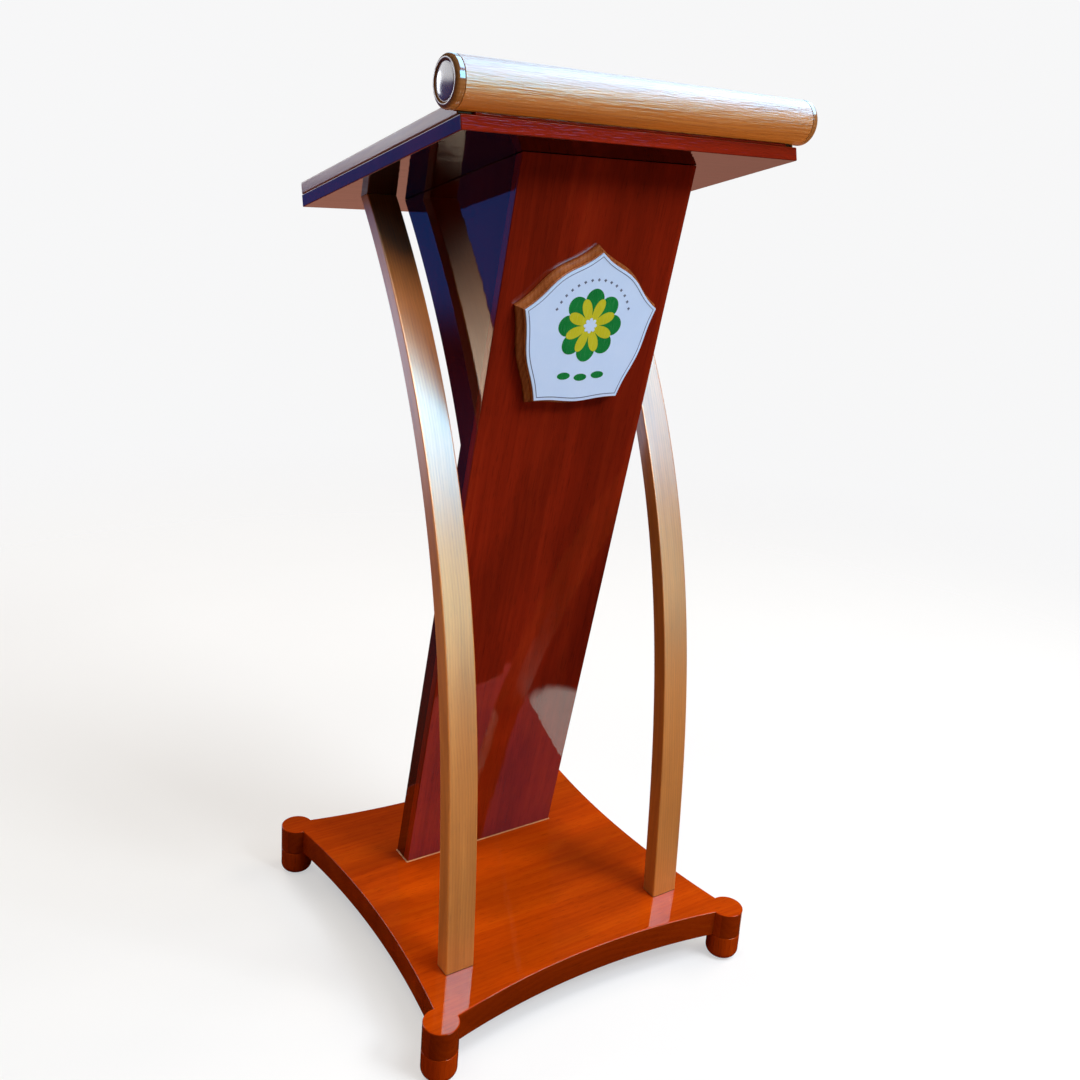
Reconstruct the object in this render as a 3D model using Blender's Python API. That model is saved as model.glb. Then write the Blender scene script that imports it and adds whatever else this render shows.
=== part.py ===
"""Wooden lectern: a lacquered base on four turned feet, a leaning column, two bowed legs and a sloping desk.

Metres, +Z up. X runs across the lectern, the audience is on the -Y side and the speaker on the +Y side.
Each named object is one separate piece of the lectern. Touching pieces are modelled with a hairline gap.
"""
import math

import bmesh
import bpy
from mathutils import Vector

GAP = 0.0003  # hairline joint between two touching pieces
SOFT_EDGE = 0.0012  # sanded edge of a board
FINE_EDGE = 0.0008  # sanded edge of a turned or small piece
EDGE_ANGLE = math.radians(50)  # edges sharper than this are sanded
SMOOTH_ANGLE = math.radians(35)  # faces that meet more gently than this are shaded as one
ROUND_STEPS = 40
FOOT_STEPS = 28
PIN_STEPS = 12

# Base: a board with four hollow sides and a round lobe at each corner, on four turned feet
CORNER_X = 0.237  # lobe centres, each side of the middle
CORNER_Y = 0.239
LOBE_RADIUS = 0.0235
FOOT_HEIGHT = 0.038
FOOT_ROUNDING = 0.011
BASE_TOP = 0.077
HOLLOW_FRONT = 0.0202  # how far the middle of a side stands inside the line of the lobe centres
HOLLOW_SIDE = 0.0190
HOLLOW_FRONT_RADIUS = 1.03
HOLLOW_SIDE_RADIUS = 1.33
LOBE_STEPS = 16
HOLLOW_STEPS = 14

# Column: a leaning front board, two side cheeks and a back in two parts
COLUMN_HALF = 0.128
COLUMN_FRONT_Y = 0.071  # front face where it stands on the base
COLUMN_LEAN = math.radians(10.8)
PANEL_THICK = 0.012
CHEEK_THICK = 0.015
COLUMN_DEPTH = 0.035  # front to back at the bottom, measured level
BACK_THICK = 0.008
BACK_INSET = 0.002  # the back boards stand this far inside the cheeks' rear edges
FOOT_BLOCK_HEIGHT = 0.050
FLARE_STEPS = 18

# Desk: a board that slopes down towards the speaker, with a raised rim on three sides
DESK_FRONT_Y = -0.185  # lower front edge
DESK_FRONT_Z = 1.127
DESK_SLOPE = math.radians(13.8)
DESK_LENGTH = 0.436
DESK_HALF = 0.240
DESK_THICK = 0.0165
RIM_WIDE = 0.018
RIM_TALL = 0.016
RIM_FRONT = 0.006  # the side rims start this far behind the desk's front edge, under the roll
CLEAT_SIZE = 0.022
CLEAT_CLEARANCE = 0.0125  # room for the lean of the board beside a cleat

# Legs: rectangular in section, upright at the base and swept back to the desk
LEG_INNER = 0.1523
LEG_OUTER = 0.1942
LEG_DEPTH = 0.025
LEG_START = (-0.1725, BASE_TOP)  # front face as (y, z): a cubic curve with two handles
LEG_HANDLE_LOW = (-0.1574, 0.3957)
LEG_HANDLE_HIGH = (-0.1419, 0.7179)
LEG_END = (0.1308, 1.0440)
LEG_STEPS = 26
CHEEK_BEHIND_LEG = 0.006  # the cheeks' flare follows the legs' rear face, this far behind it

# Roll along the front of the desk, on a hollowed bed
ROLL_Y = -0.1713
ROLL_Z = 1.1726
ROLL_RADIUS = 0.0274
ROLL_HALF = 0.2551
ROLL_CAP = 0.010
CAP_ROUNDING = 0.005
# The end cap's shallow dome inside its rounded ring, as (radius, depth)
CAP_DOME = ((0.0165, 0), (0.0150, 0.0016), (0.0135, 0.0012), (0.0095, 0.0004), (0.0045, 0.0001))
SPIGOT_RADIUS = 0.008
SPIGOT_LENGTH = 0.012
BED_FRONT = 0.001  # behind the desk's front edge
BED_BACK = 0.024
BED_TALL = 0.010

# Plaque on the column: a five-sided shield with a moulded edge and a thin face
PLAQUE_CENTRE = 0.852  # along the panel, from its foot
PLAQUE_CORNERS = ((0, 0.0942), (-0.100, 0.023), (-0.0642, -0.0962), (0.0642, -0.0962), (0.100, 0.023))
PLAQUE_SWELL = (0.0058, 0.0040, 0.0036, 0.0040, 0.0058)  # how far the side after each corner bows out
PLAQUE_SWELL_WAVE = (0.75, 0.33)  # a broad bow, less a ripple that hollows it next to the corners
PLAQUE_SIDE_STEPS = 12
PLAQUE_DEEP = 0.015
PLAQUE_FLARE = 0.0055  # the back of the shield is this much larger all round
PLAQUE_LIP = 0.0006  # the front of the moulding stands this far outside the face
PLAQUE_INRADIUS = 0.085  # middle to side, which turns a flare into a scale
PLAQUE_FACE_THICK = 0.002
PLAQUE_FACE_BEVEL = 0.0006

# Dowels: radius, reach below the joint, reach above it
FOOT_DOWEL = (0.005, 0.0197, 0.020)
LEG_DOWEL = (0.004, 0.016, 0.009)
LEG_DOWEL_TILT = math.radians(30)
ROLL_DOWEL = (0.004, 0.010, 0.018)
ROLL_DOWEL_X = 0.170
ROLL_DOWEL_BACK = 0.012  # behind the desk's front edge
DOWEL_CHAMFER = 0.001

# Screws: head radius, shank radius, reach below the joint, reach above it
LEG_SCREW = (0.006, 0.003, 0.025, 0.045)
COLUMN_SCREW = (0.005, 0.0025, 0.024, 0.036)
COLUMN_SCREW_X = 0.070
PLAQUE_SCREW = (0.0042, 0.002, 0.012, 0.012)
PLAQUE_SCREW_APART = 0.045  # each side of the plaque's centre
CLEAT_SCREW = (0.004, 0.002, 0.020, 0.011)
CLEAT_SCREW_X = 0.070
BORE_MOUTH = 0.03  # a head bore's cutter reaches this far out of the wood
TIP_CLEARANCE = 0.001

SIDES = (("left", -1), ("right", 1))


def clear_scene():
    for obj in list(bpy.data.objects):
        bpy.data.objects.remove(obj, do_unlink=True)


def finish(name, colour, roughness, metallic=0.0):
    """A Principled material with this colour, roughness and metallic value."""
    material = bpy.data.materials.new(name)
    material.use_nodes = True
    shader = material.node_tree.nodes["Principled BSDF"]
    shader.inputs["Base Color"].default_value = (*colour, 1.0)
    shader.inputs["Roughness"].default_value = roughness
    shader.inputs["Metallic"].default_value = metallic
    material.diffuse_color = (*colour, 1.0)
    return material


def new_object(name, bm, material, parent=None):
    """Turns a bmesh into a named object, smooth where its faces meet gently."""
    bmesh.ops.recalc_face_normals(bm, faces=bm.faces)
    mesh = bpy.data.meshes.new(name)
    bm.to_mesh(mesh)
    bm.free()
    for face in mesh.polygons:
        face.use_smooth = True
    mesh.set_sharp_from_angle(angle=SMOOTH_ANGLE)
    obj = bpy.data.objects.new(name, mesh)
    bpy.context.collection.objects.link(obj)
    if material:
        mesh.materials.append(material)
    obj.parent = parent
    return obj


def frame(name, location, tilt):
    """An empty that carries the pieces of one leaning or sloping assembly."""
    empty = bpy.data.objects.new(name, None)
    bpy.context.collection.objects.link(empty)
    empty.location = location
    empty.rotation_euler = (tilt, 0, 0)
    return empty


def loft(rings):
    """Skins rings that hold equal numbers of points, and closes both ends."""
    bm = bmesh.new()
    rows = [[bm.verts.new(point) for point in ring] for ring in rings]
    count = len(rows[0])
    for low, high in zip(rows, rows[1:]):
        for i in range(count):
            j = (i + 1) % count
            bm.faces.new((low[i], low[j], high[j], high[i]))
    bm.faces.new(rows[0])
    bm.faces.new(rows[-1])
    return bm


def prism(outline, x0, x1):
    """A (y, z) outline carried from x0 to x1."""
    return loft([[(x, y, z) for y, z in outline] for x in (x0, x1)])


def box(low, high):
    """A box between two opposite corners."""
    (x0, y0, z0), (x1, y1, z1) = low, high
    return prism([(y0, z0), (y1, z0), (y1, z1), (y0, z1)], x0, x1)


def turned(profile, steps=ROUND_STEPS):
    """A solid of revolution about Z. The (radius, z) profile starts and ends on the axis."""
    bm = bmesh.new()
    angles = [2 * math.pi * k / steps for k in range(steps)]
    rows = []
    for radius, z in profile:
        ring = angles if radius else angles[:1]
        rows.append([bm.verts.new((radius * math.cos(a), radius * math.sin(a), z)) for a in ring])
    for low, high in zip(rows, rows[1:]):
        for i in range(steps):
            j = (i + 1) % steps
            corners = (low[i % len(low)], low[j % len(low)], high[j % len(high)], high[i % len(high)])
            bm.faces.new(dict.fromkeys(corners))
    return bm


def arc(centre, radius, start, end, steps):
    """Points of a circular arc, angles in radians."""
    angles = [start + (end - start) * k / steps for k in range(steps + 1)]
    return [(centre[0] + radius * math.cos(a), centre[1] + radius * math.sin(a)) for a in angles]


def soften(obj, width=SOFT_EDGE):
    """Rounds the sharp edges a little, as sanding does."""
    bevel = obj.modifiers.new("sanded_edges", "BEVEL")
    bevel.width = width
    bevel.segments = 2
    bevel.limit_method = "ANGLE"
    bevel.angle_limit = EDGE_ANGLE
    bevel.harden_normals = True
    return obj


def cut(obj, cutters):
    """Takes the cutters' shapes out of an object."""
    for cutter in cutters:
        bore = obj.modifiers.new("bore", "BOOLEAN")
        bore.operation = "DIFFERENCE"
        bore.solver = "EXACT"
        bore.object = cutter


def make_cutter(name, profile, parent=None, steps=PIN_STEPS):
    """A turned shape that only cuts."""
    cutter = new_object(name, turned(profile, steps), None, parent)
    cutter.hide_render = True
    cutter.display_type = "WIRE"
    return cutter


def place(objects, location, rotation=(0, 0, 0)):
    """Moves and turns objects together."""
    for obj in objects:
        obj.location = location
        obj.rotation_euler = rotation


def make_dowel(name, sizes, material, parent=None):
    """A dowel along Z with chamfered ends, its joint at z = 0. Returns it with its bore's cutter."""
    radius, below, above = sizes
    inside = radius - DOWEL_CHAMFER
    profile = [(0, -below), (inside, -below), (radius, DOWEL_CHAMFER - below)]
    profile += [(radius, above - DOWEL_CHAMFER), (inside, above), (0, above)]
    dowel = new_object(name, turned(profile, PIN_STEPS), material, parent)
    wide, low, high = radius + GAP, -below - GAP, above + GAP
    bore = make_cutter(f"{name}_bore", [(0, low), (wide, low), (wide, high), (0, high)], parent)
    return dowel, bore


def make_screw(name, sizes, material, parent=None):
    """A countersunk screw along Z, head down, its joint at z = 0. Returns it with its bore's cutter."""
    head, radius, below, above = sizes
    taper = head - radius
    profile = [(0, -below), (head, -below), (radius, taper - below), (radius, above - 2 * radius), (0, above)]
    steel = new_object(name, turned(profile, PIN_STEPS), material, parent)
    wide, narrow = head + 2 * GAP, radius + GAP
    mouth, seat, tip = -below - BORE_MOUTH, GAP - below, above + TIP_CLEARANCE
    profile = [(0, mouth), (wide, mouth), (wide, seat), (narrow, seat + taper + GAP), (narrow, tip), (0, tip)]
    return steel, make_cutter(f"{name}_bore", profile, parent)


def circles_meet(a, radius_a, b, radius_b, near):
    """The crossing of two circles that lies nearer to a point."""
    across = Vector(b) - Vector(a)
    along = (radius_a**2 - radius_b**2 + across.length_squared) / (2 * across.length)
    across.normalize()
    foot = Vector(a) + across * along
    aside = Vector((-across.y, across.x)) * math.sqrt(radius_a**2 - along**2)
    return min((foot + aside, foot - aside), key=lambda p: (p - Vector(near)).length)


def bearing(point, centre):
    """Direction of a point seen from a centre."""
    return math.atan2(point[1] - centre[1], point[0] - centre[0])


def base_outline(inset):
    """The base's plan, anticlockwise: four lobes joined by four hollow sides, drawn inset from its edge."""
    lobe = LOBE_RADIUS - inset
    corners = [(CORNER_X, CORNER_Y), (-CORNER_X, CORNER_Y), (-CORNER_X, -CORNER_Y), (CORNER_X, -CORNER_Y)]
    circles = []  # of the hollow side after each corner
    for k in range(4):
        across = k % 2 == 0
        radius = HOLLOW_FRONT_RADIUS if across else HOLLOW_SIDE_RADIUS
        reach = radius + (CORNER_Y - HOLLOW_FRONT if across else CORNER_X - HOLLOW_SIDE)
        facing = math.pi / 2 * (k + 1)
        circles.append(((reach * math.cos(facing), reach * math.sin(facing)), radius + inset))
    points = []
    for k, corner in enumerate(corners):
        follow = corners[(k + 1) % 4]
        enter = circles_meet(corner, lobe, *circles[k - 1], near=corners[k - 1])
        leave = circles_meet(corner, lobe, *circles[k], near=follow)
        arrive = circles_meet(follow, lobe, *circles[k], near=corner)
        start, end = bearing(enter, corner), bearing(leave, corner)
        points += arc(corner, lobe, start, end if end > start else end + 2 * math.pi, LOBE_STEPS)
        centre, radius = circles[k]
        start = bearing(leave, centre)
        sweep = (bearing(arrive, centre) - start + math.pi) % (2 * math.pi) - math.pi
        points += arc(centre, radius, start, start + sweep, HOLLOW_STEPS)[1:-1]
    return points


def make_base(material, cutters):
    """The base board, with its top and bottom edges sanded."""
    bottom = FOOT_HEIGHT + GAP
    levels = [(bottom, FINE_EDGE), (bottom + FINE_EDGE, 0), (BASE_TOP - SOFT_EDGE, 0)]
    levels += [(BASE_TOP - SOFT_EDGE / 3, SOFT_EDGE / 3), (BASE_TOP, SOFT_EDGE)]
    rings = [[(x, y, z) for x, y in base_outline(inset)] for z, inset in levels]
    cut(new_object("base_board", loft(rings), material), cutters)


def make_foot(name, x, y, material):
    """A short turned foot with a rounded lower edge and a blind bore for its dowel."""
    radius, below, _ = FOOT_DOWEL
    wide, floor = radius + GAP, FOOT_HEIGHT - below - GAP
    rounding = arc((LOBE_RADIUS - FOOT_ROUNDING, FOOT_ROUNDING), FOOT_ROUNDING, -math.pi / 2, 0, 5)
    profile = [(0, 0), *rounding, (LOBE_RADIUS, FOOT_HEIGHT - FINE_EDGE)]
    profile += [(LOBE_RADIUS - FINE_EDGE, FOOT_HEIGHT), (wide, FOOT_HEIGHT), (wide, floor), (0, floor)]
    place([new_object(name, turned(profile, FOOT_STEPS), material)], (x, y, 0))


def desk_underside(y):
    """Height of the desk's underside."""
    return DESK_FRONT_Z - math.tan(DESK_SLOPE) * (y - DESK_FRONT_Y)


def above_base(y, z):
    """True for a point clear of the base's top."""
    return z > BASE_TOP + GAP


def at_desk(y, z):
    """True for a point that has reached the desk's underside."""
    return z > desk_underside(y) - GAP


def leg_curve(t, behind):
    """A point (y, z) of the leg's front face, moved back by behind."""
    weights = ((1 - t) ** 3, 3 * t * (1 - t) ** 2, 3 * t * t * (1 - t), t**3)
    points = (LEG_START, LEG_HANDLE_LOW, LEG_HANDLE_HIGH, LEG_END)
    y, z = (sum(w * p[axis] for w, p in zip(weights, points)) for axis in (0, 1))
    return y + behind, z


def where_first(condition, behind):
    """The curve's parameter where a condition on (y, z) turns true, found by halving."""
    low, high = 0.0, 1.1
    for _ in range(40):
        middle = (low + high) / 2
        if condition(*leg_curve(middle, behind)):
            high = middle
        else:
            low = middle
    return high


def leg_face(behind, starts, steps):
    """The curve from where a condition turns true up to the desk."""
    start = where_first(starts, behind)
    end = where_first(at_desk, behind)
    return [leg_curve(start + (end - start) * k / steps, behind) for k in range(steps + 1)]


def make_leg(name, side, material, cutters):
    """One bowed leg, cut level at the base and to the desk's slope at the top."""
    front, rear = (leg_face(behind, above_base, LEG_STEPS) for behind in (0, LEG_DEPTH))
    x0, x1 = sorted((side * LEG_INNER, side * LEG_OUTER))
    cut(soften(new_object(name, prism(front + rear[::-1], x0, x1), material)), cutters)


def column_front(z, behind=0.0):
    """y of the column's front face at a height, moved back level by behind."""
    return COLUMN_FRONT_Y - math.tan(COLUMN_LEAN) * (z - BASE_TOP) + behind


def level(thickness):
    """The level depth of a leaning board of this thickness."""
    return thickness / math.cos(COLUMN_LEAN)


def meets_desk(behind):
    """Where a line parallel to the column's front meets the desk's underside."""
    lean, slope = math.tan(COLUMN_LEAN), math.tan(DESK_SLOPE)
    y_at_floor = column_front(0, behind)
    z = (DESK_FRONT_Z - GAP - slope * (y_at_floor - DESK_FRONT_Y)) / (1 - slope * lean)
    return column_front(z, behind), z


def flare(inset):
    """The column's rear line above its bend, where it follows the legs back to the desk."""
    behind_leg = LEG_DEPTH + CHEEK_BEHIND_LEG - inset
    return leg_face(behind_leg, lambda y, z: y > column_front(z, COLUMN_DEPTH - inset), FLARE_STEPS)


def between(front, back, low, high):
    """Outline of a leaning piece between two depths and two heights."""
    corners = ((front, low), (back, low), (back, high), (front, high))
    return [(column_front(z, depth), z) for depth, z in corners]


def make_column_panel(material, cutters):
    """The leaning front board, over the front edges of the cheeks."""
    back = level(PANEL_THICK)
    low = BASE_TOP + GAP
    outline = [(column_front(low), low), (column_front(low, back), low), meets_desk(back), meets_desk(0)]
    panel = new_object("column_front_panel", prism(outline, -COLUMN_HALF, COLUMN_HALF), material)
    cut(soften(panel), cutters)


def make_cheek(name, side, material):
    """One side of the column: narrow below, flaring back to carry the desk."""
    front = level(PANEL_THICK) + GAP
    low = BASE_TOP + GAP
    outline = [(column_front(low, front), low), (column_front(low, COLUMN_DEPTH), low)]
    outline += [*flare(0), meets_desk(front)]
    x0, x1 = sorted((side * (COLUMN_HALF - CHEEK_THICK), side * COLUMN_HALF))
    soften(new_object(name, prism(outline, x0, x1), material), FINE_EDGE)


def make_backs(material):
    """The two boards that close the column behind, a flat one below and a curved one above."""
    half = COLUMN_HALF - CHEEK_THICK - GAP
    outer, inner = flare(BACK_INSET), flare(BACK_INSET + level(BACK_THICK))
    back = COLUMN_DEPTH - BACK_INSET
    low = between(back - level(BACK_THICK), back, BASE_TOP + GAP, outer[0][1] - GAP)
    low[3] = (inner[0][0], inner[0][1] - GAP)
    new_object("column_back_lower", prism(low, -half, half), material)
    new_object("column_back_upper", prism(outer + inner[::-1], -half, half), material)


def make_foot_block(material, cutters):
    """The block inside the foot of the column that takes the screws from the base."""
    half = COLUMN_HALF - CHEEK_THICK - GAP
    front = level(PANEL_THICK) + GAP
    back = COLUMN_DEPTH - BACK_INSET - level(BACK_THICK) - GAP
    outline = between(front, back, BASE_TOP + GAP, BASE_TOP + FOOT_BLOCK_HEIGHT)
    cut(new_object("column_foot_block", prism(outline, -half, half), material), cutters)


def cleat_places():
    """Distance of each desk cleat's middle behind the desk's front edge."""
    run = math.cos(DESK_SLOPE)
    panel_y = meets_desk(level(PANEL_THICK))[0]
    back_y = flare(BACK_INSET + level(BACK_THICK))[-1][0]
    clear = CLEAT_CLEARANCE + CLEAT_SIZE / 2
    return ("front", (panel_y - DESK_FRONT_Y) / run + clear), ("rear", (back_y - DESK_FRONT_Y) / run - clear)


def make_cleat(name, y, material, parent, cutters):
    """A block inside the head of the column, screwed up into the desk."""
    half = COLUMN_HALF - CHEEK_THICK - GAP
    low, high = (-half, y - CLEAT_SIZE / 2, -CLEAT_SIZE), (half, y + CLEAT_SIZE / 2, -GAP)
    cut(new_object(name, box(low, high), material, parent), cutters)


def make_desk(board, trim, parent, cutters, roll_cutters):
    """The desk board, its three rims and the roll's bed, in the desk's own sloping frame."""
    low, high = (-DESK_HALF, 0, 0), (DESK_HALF, DESK_LENGTH, DESK_THICK)
    cut(soften(new_object("desk_board", box(low, high), board, parent)), cutters)
    floor = DESK_THICK + GAP
    top = DESK_THICK + RIM_TALL
    for tag, side in SIDES:
        x0, x1 = sorted((side * (DESK_HALF - RIM_WIDE), side * DESK_HALF))
        low, high = (x0, RIM_FRONT, floor), (x1, DESK_LENGTH, top)
        rim = new_object(f"desk_rim_{tag}", box(low, high), trim, parent)
        cut(soften(rim), roll_cutters[:1])
    half = DESK_HALF - RIM_WIDE - GAP
    low, high = (-half, DESK_LENGTH - RIM_WIDE, floor), (half, DESK_LENGTH, top)
    soften(new_object("desk_rim_rear", box(low, high), trim, parent))
    low, high = (-half, BED_FRONT, floor), (half, BED_BACK, floor + BED_TALL)
    cut(new_object("roll_bed", box(low, high), board, parent), roll_cutters)


def make_roll(material, cutters):
    """The turned roll and its two domed end caps, lying along X."""
    body = ROLL_HALF - ROLL_CAP - GAP
    bore, socket = SPIGOT_RADIUS + GAP, body - SPIGOT_LENGTH - TIP_CLEARANCE
    half = [(0, socket), (bore, socket), (bore, body)]
    half += [(ROLL_RADIUS - FINE_EDGE, body), (ROLL_RADIUS, body - FINE_EDGE)]
    roll = new_object("roll_body", turned(half + [(r, -z) for r, z in half[::-1]]), material)
    cut(roll, cutters)
    start = body + GAP
    spigot = start - SPIGOT_LENGTH
    profile = [(0, spigot), (SPIGOT_RADIUS, spigot), (SPIGOT_RADIUS, start)]
    profile += [(ROLL_RADIUS - FINE_EDGE, start), (ROLL_RADIUS, start + FINE_EDGE)]
    profile += arc((ROLL_RADIUS - CAP_ROUNDING, ROLL_HALF - CAP_ROUNDING), CAP_ROUNDING, 0, math.pi / 2, 4)
    profile += [(radius, ROLL_HALF - deep) for radius, deep in CAP_DOME] + [(0, ROLL_HALF)]
    across = (0, math.pi / 2, 0)
    place([roll], (0, ROLL_Y, ROLL_Z), across)
    for tag, side in SIDES:
        cap = new_object(f"roll_cap_{tag}", turned(profile), material)
        place([cap], (0, ROLL_Y, ROLL_Z), (0, side * math.pi / 2, 0))


def roll_clearance():
    """The roll's own shape, a hairline larger, which hollows the rims and the bed beneath it."""
    radius, reach = ROLL_RADIUS + GAP, ROLL_HALF + BORE_MOUTH
    profile = [(0, -reach), (radius, -reach), (radius, reach), (0, reach)]
    cutter = make_cutter("roll_clearance", profile, steps=2 * ROUND_STEPS)
    place([cutter], (0, ROLL_Y, ROLL_Z), (0, math.pi / 2, 0))
    return cutter


def plaque_outline(grow):
    """The shield's outline in the panel's (x, z), grown all round. Each side bows out between its corners."""
    scale = 1 + grow / PLAQUE_INRADIUS
    bow, ripple = PLAQUE_SWELL_WAVE
    points = []
    for k, corner in enumerate(PLAQUE_CORNERS):
        run = Vector(PLAQUE_CORNERS[(k + 1) % len(PLAQUE_CORNERS)]) - Vector(corner)
        outward = Vector((-run.y, run.x)).normalized()
        if outward.dot(Vector(corner)) < 0:
            outward.negate()
        for step in range(PLAQUE_SIDE_STEPS):
            t = step / PLAQUE_SIDE_STEPS
            swell = PLAQUE_SWELL[k] * (bow * math.sin(math.pi * t) - ripple * math.sin(3 * math.pi * t))
            point = Vector(corner) + run * t + outward * swell
            points.append((point.x * scale, point.y * scale))
    return points


def plaque_solid(levels):
    """Skins the shield's outline through (distance in front of the panel, growth) levels."""
    return loft([[(x, -out, PLAQUE_CENTRE + z) for x, z in plaque_outline(grow)] for out, grow in levels])


def make_plaque(edge, face, parent, cutters):
    """The moulded shield and its face plate, standing on the front of the panel."""
    wide, lip, deep = PLAQUE_FLARE, PLAQUE_LIP, PLAQUE_DEEP
    moulding = [(GAP, wide - FINE_EDGE), (GAP + FINE_EDGE, wide), (0.30 * deep, wide)]
    moulding += [(0.36 * deep, 0.78 * wide), (0.50 * deep, 0.42 * wide), (0.67 * deep, 0.18 * wide)]
    moulding += [(0.83 * deep, lip), (deep - lip, lip), (deep, 0)]
    cut(new_object("plaque_backing", plaque_solid(moulding), edge, parent), cutters)
    low, high = deep + GAP, deep + PLAQUE_FACE_THICK
    levels = [(low, -lip), (high - PLAQUE_FACE_BEVEL, -lip), (high, -lip - PLAQUE_FACE_BEVEL)]
    new_object("plaque_face", plaque_solid(levels), face, parent)


def make_feet(wood, dowel_wood):
    """Four feet and their dowels. Returns the dowels' bores."""
    bores = []
    for end, sy in (("front", -1), ("back", 1)):
        for tag, sx in SIDES:
            x, y = sx * CORNER_X, sy * CORNER_Y
            make_foot(f"foot_{end}_{tag}", x, y, wood)
            pair = make_dowel(f"foot_dowel_{end}_{tag}", FOOT_DOWEL, dowel_wood)
            place(pair, (x, y, FOOT_HEIGHT))
            bores.append(pair[1])
    return bores


def make_legs(wood, dowel_wood, steel):
    """Two legs, each with a screw from below and a dowel in the desk. Returns the bores of both."""
    screw_bores, dowel_bores = [], []
    foot_y = LEG_START[0] + LEG_DEPTH / 2
    top_y = LEG_END[0] + LEG_DEPTH / 2
    for tag, side in SIDES:
        x = side * (LEG_INNER + LEG_OUTER) / 2
        screw = make_screw(f"leg_screw_{tag}", LEG_SCREW, steel)
        place(screw, (x, foot_y, BASE_TOP))
        dowel = make_dowel(f"leg_dowel_{tag}", LEG_DOWEL, dowel_wood)
        place(dowel, (x, top_y, desk_underside(top_y)), (-LEG_DOWEL_TILT, 0, 0))
        make_leg(f"leg_{tag}", side, wood, (screw[1], dowel[1]))
        screw_bores.append(screw[1])
        dowel_bores.append(dowel[1])
    return screw_bores, dowel_bores


def make_row(name, maker, sizes, material, parent, places, rotation=(0, 0, 0)):
    """Screws or dowels of one kind, named by their places. Returns their bores."""
    bores = []
    for tag, location in places:
        pair = maker(f"{name}_{tag}", sizes, material, parent)
        place(pair, location, rotation)
        bores.append(pair[1])
    return bores


def main():
    clear_scene()
    base_wood = finish("base_mahogany", (0.33, 0.042, 0.006), 0.16)
    column_wood = finish("column_mahogany", (0.125, 0.011, 0.004), 0.14)
    desk_wood = finish("desk_mahogany", (0.075, 0.012, 0.008), 0.14)
    honey_wood = finish("honey_wood", (0.52, 0.30, 0.11), 0.24)
    plaque_wood = finish("plaque_wood", (0.42, 0.17, 0.06), 0.26)
    white = finish("plaque_white", (0.74, 0.80, 0.92), 0.22)
    pine = finish("raw_pine", (0.56, 0.40, 0.22), 0.65)
    beech = finish("beech_dowel", (0.60, 0.42, 0.24), 0.60)
    steel = finish("zinc_screw", (0.60, 0.60, 0.58), 0.35, metallic=1.0)

    panel_frame = frame("panel_frame", (0, COLUMN_FRONT_Y, BASE_TOP), COLUMN_LEAN)
    desk_frame = frame("desk_frame", (0, DESK_FRONT_Y, DESK_FRONT_Z), -DESK_SLOPE)

    foot_bores = make_feet(base_wood, beech)
    leg_screw_bores, leg_dowel_bores = make_legs(honey_wood, beech, steel)
    depth = COLUMN_DEPTH - BACK_INSET
    middle = (PANEL_THICK + depth * math.cos(COLUMN_LEAN) - BACK_THICK) / 2
    places = [(tag, (side * COLUMN_SCREW_X, middle, 0)) for tag, side in SIDES]
    column_bores = make_row("column_screw", make_screw, COLUMN_SCREW, steel, panel_frame, places)
    make_base(base_wood, foot_bores + leg_screw_bores + column_bores)
    make_foot_block(pine, column_bores)

    ends = (("upper", 1), ("lower", -1))
    places = [(tag, (0, 0, PLAQUE_CENTRE + up * PLAQUE_SCREW_APART)) for tag, up in ends]
    forward = (math.pi / 2, 0, 0)
    plaque_bores = make_row("plaque_screw", make_screw, PLAQUE_SCREW, steel, panel_frame, places, forward)
    make_column_panel(column_wood, plaque_bores)
    make_plaque(plaque_wood, white, panel_frame, plaque_bores)
    for tag, side in SIDES:
        make_cheek(f"column_cheek_{tag}", side, column_wood)
    make_backs(column_wood)

    cleat_bores = []
    for end, y in cleat_places():
        places = [(tag, (side * CLEAT_SCREW_X, y, 0)) for tag, side in SIDES]
        bores = make_row(f"cleat_screw_{end}", make_screw, CLEAT_SCREW, steel, desk_frame, places)
        make_cleat(f"desk_cleat_{end}", y, pine, desk_frame, bores)
        cleat_bores += bores

    places = [("middle", (0, ROLL_DOWEL_BACK, DESK_THICK))]
    places += [(tag, (side * ROLL_DOWEL_X, ROLL_DOWEL_BACK, DESK_THICK)) for tag, side in SIDES]
    roll_bores = make_row("roll_dowel", make_dowel, ROLL_DOWEL, beech, desk_frame, places)
    desk_bores = leg_dowel_bores + cleat_bores + roll_bores
    make_desk(desk_wood, honey_wood, desk_frame, desk_bores, [roll_clearance(), *roll_bores])
    make_roll(honey_wood, roll_bores)


main()
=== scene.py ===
"""Looks of the wooden lectern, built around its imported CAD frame.

Metres, +Z up. X runs across the lectern, the audience is on the -Y side and the speaker on the +Y side.
Every visible board is rebuilt with finer edges and curves at its CAD place. Wood shaders read each piece's
own grain coordinates, stored on its mesh as (across the board, through it, along the grain).
"""
import math
import random

import bmesh
import bpy
from mathutils import Matrix, Vector


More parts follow.
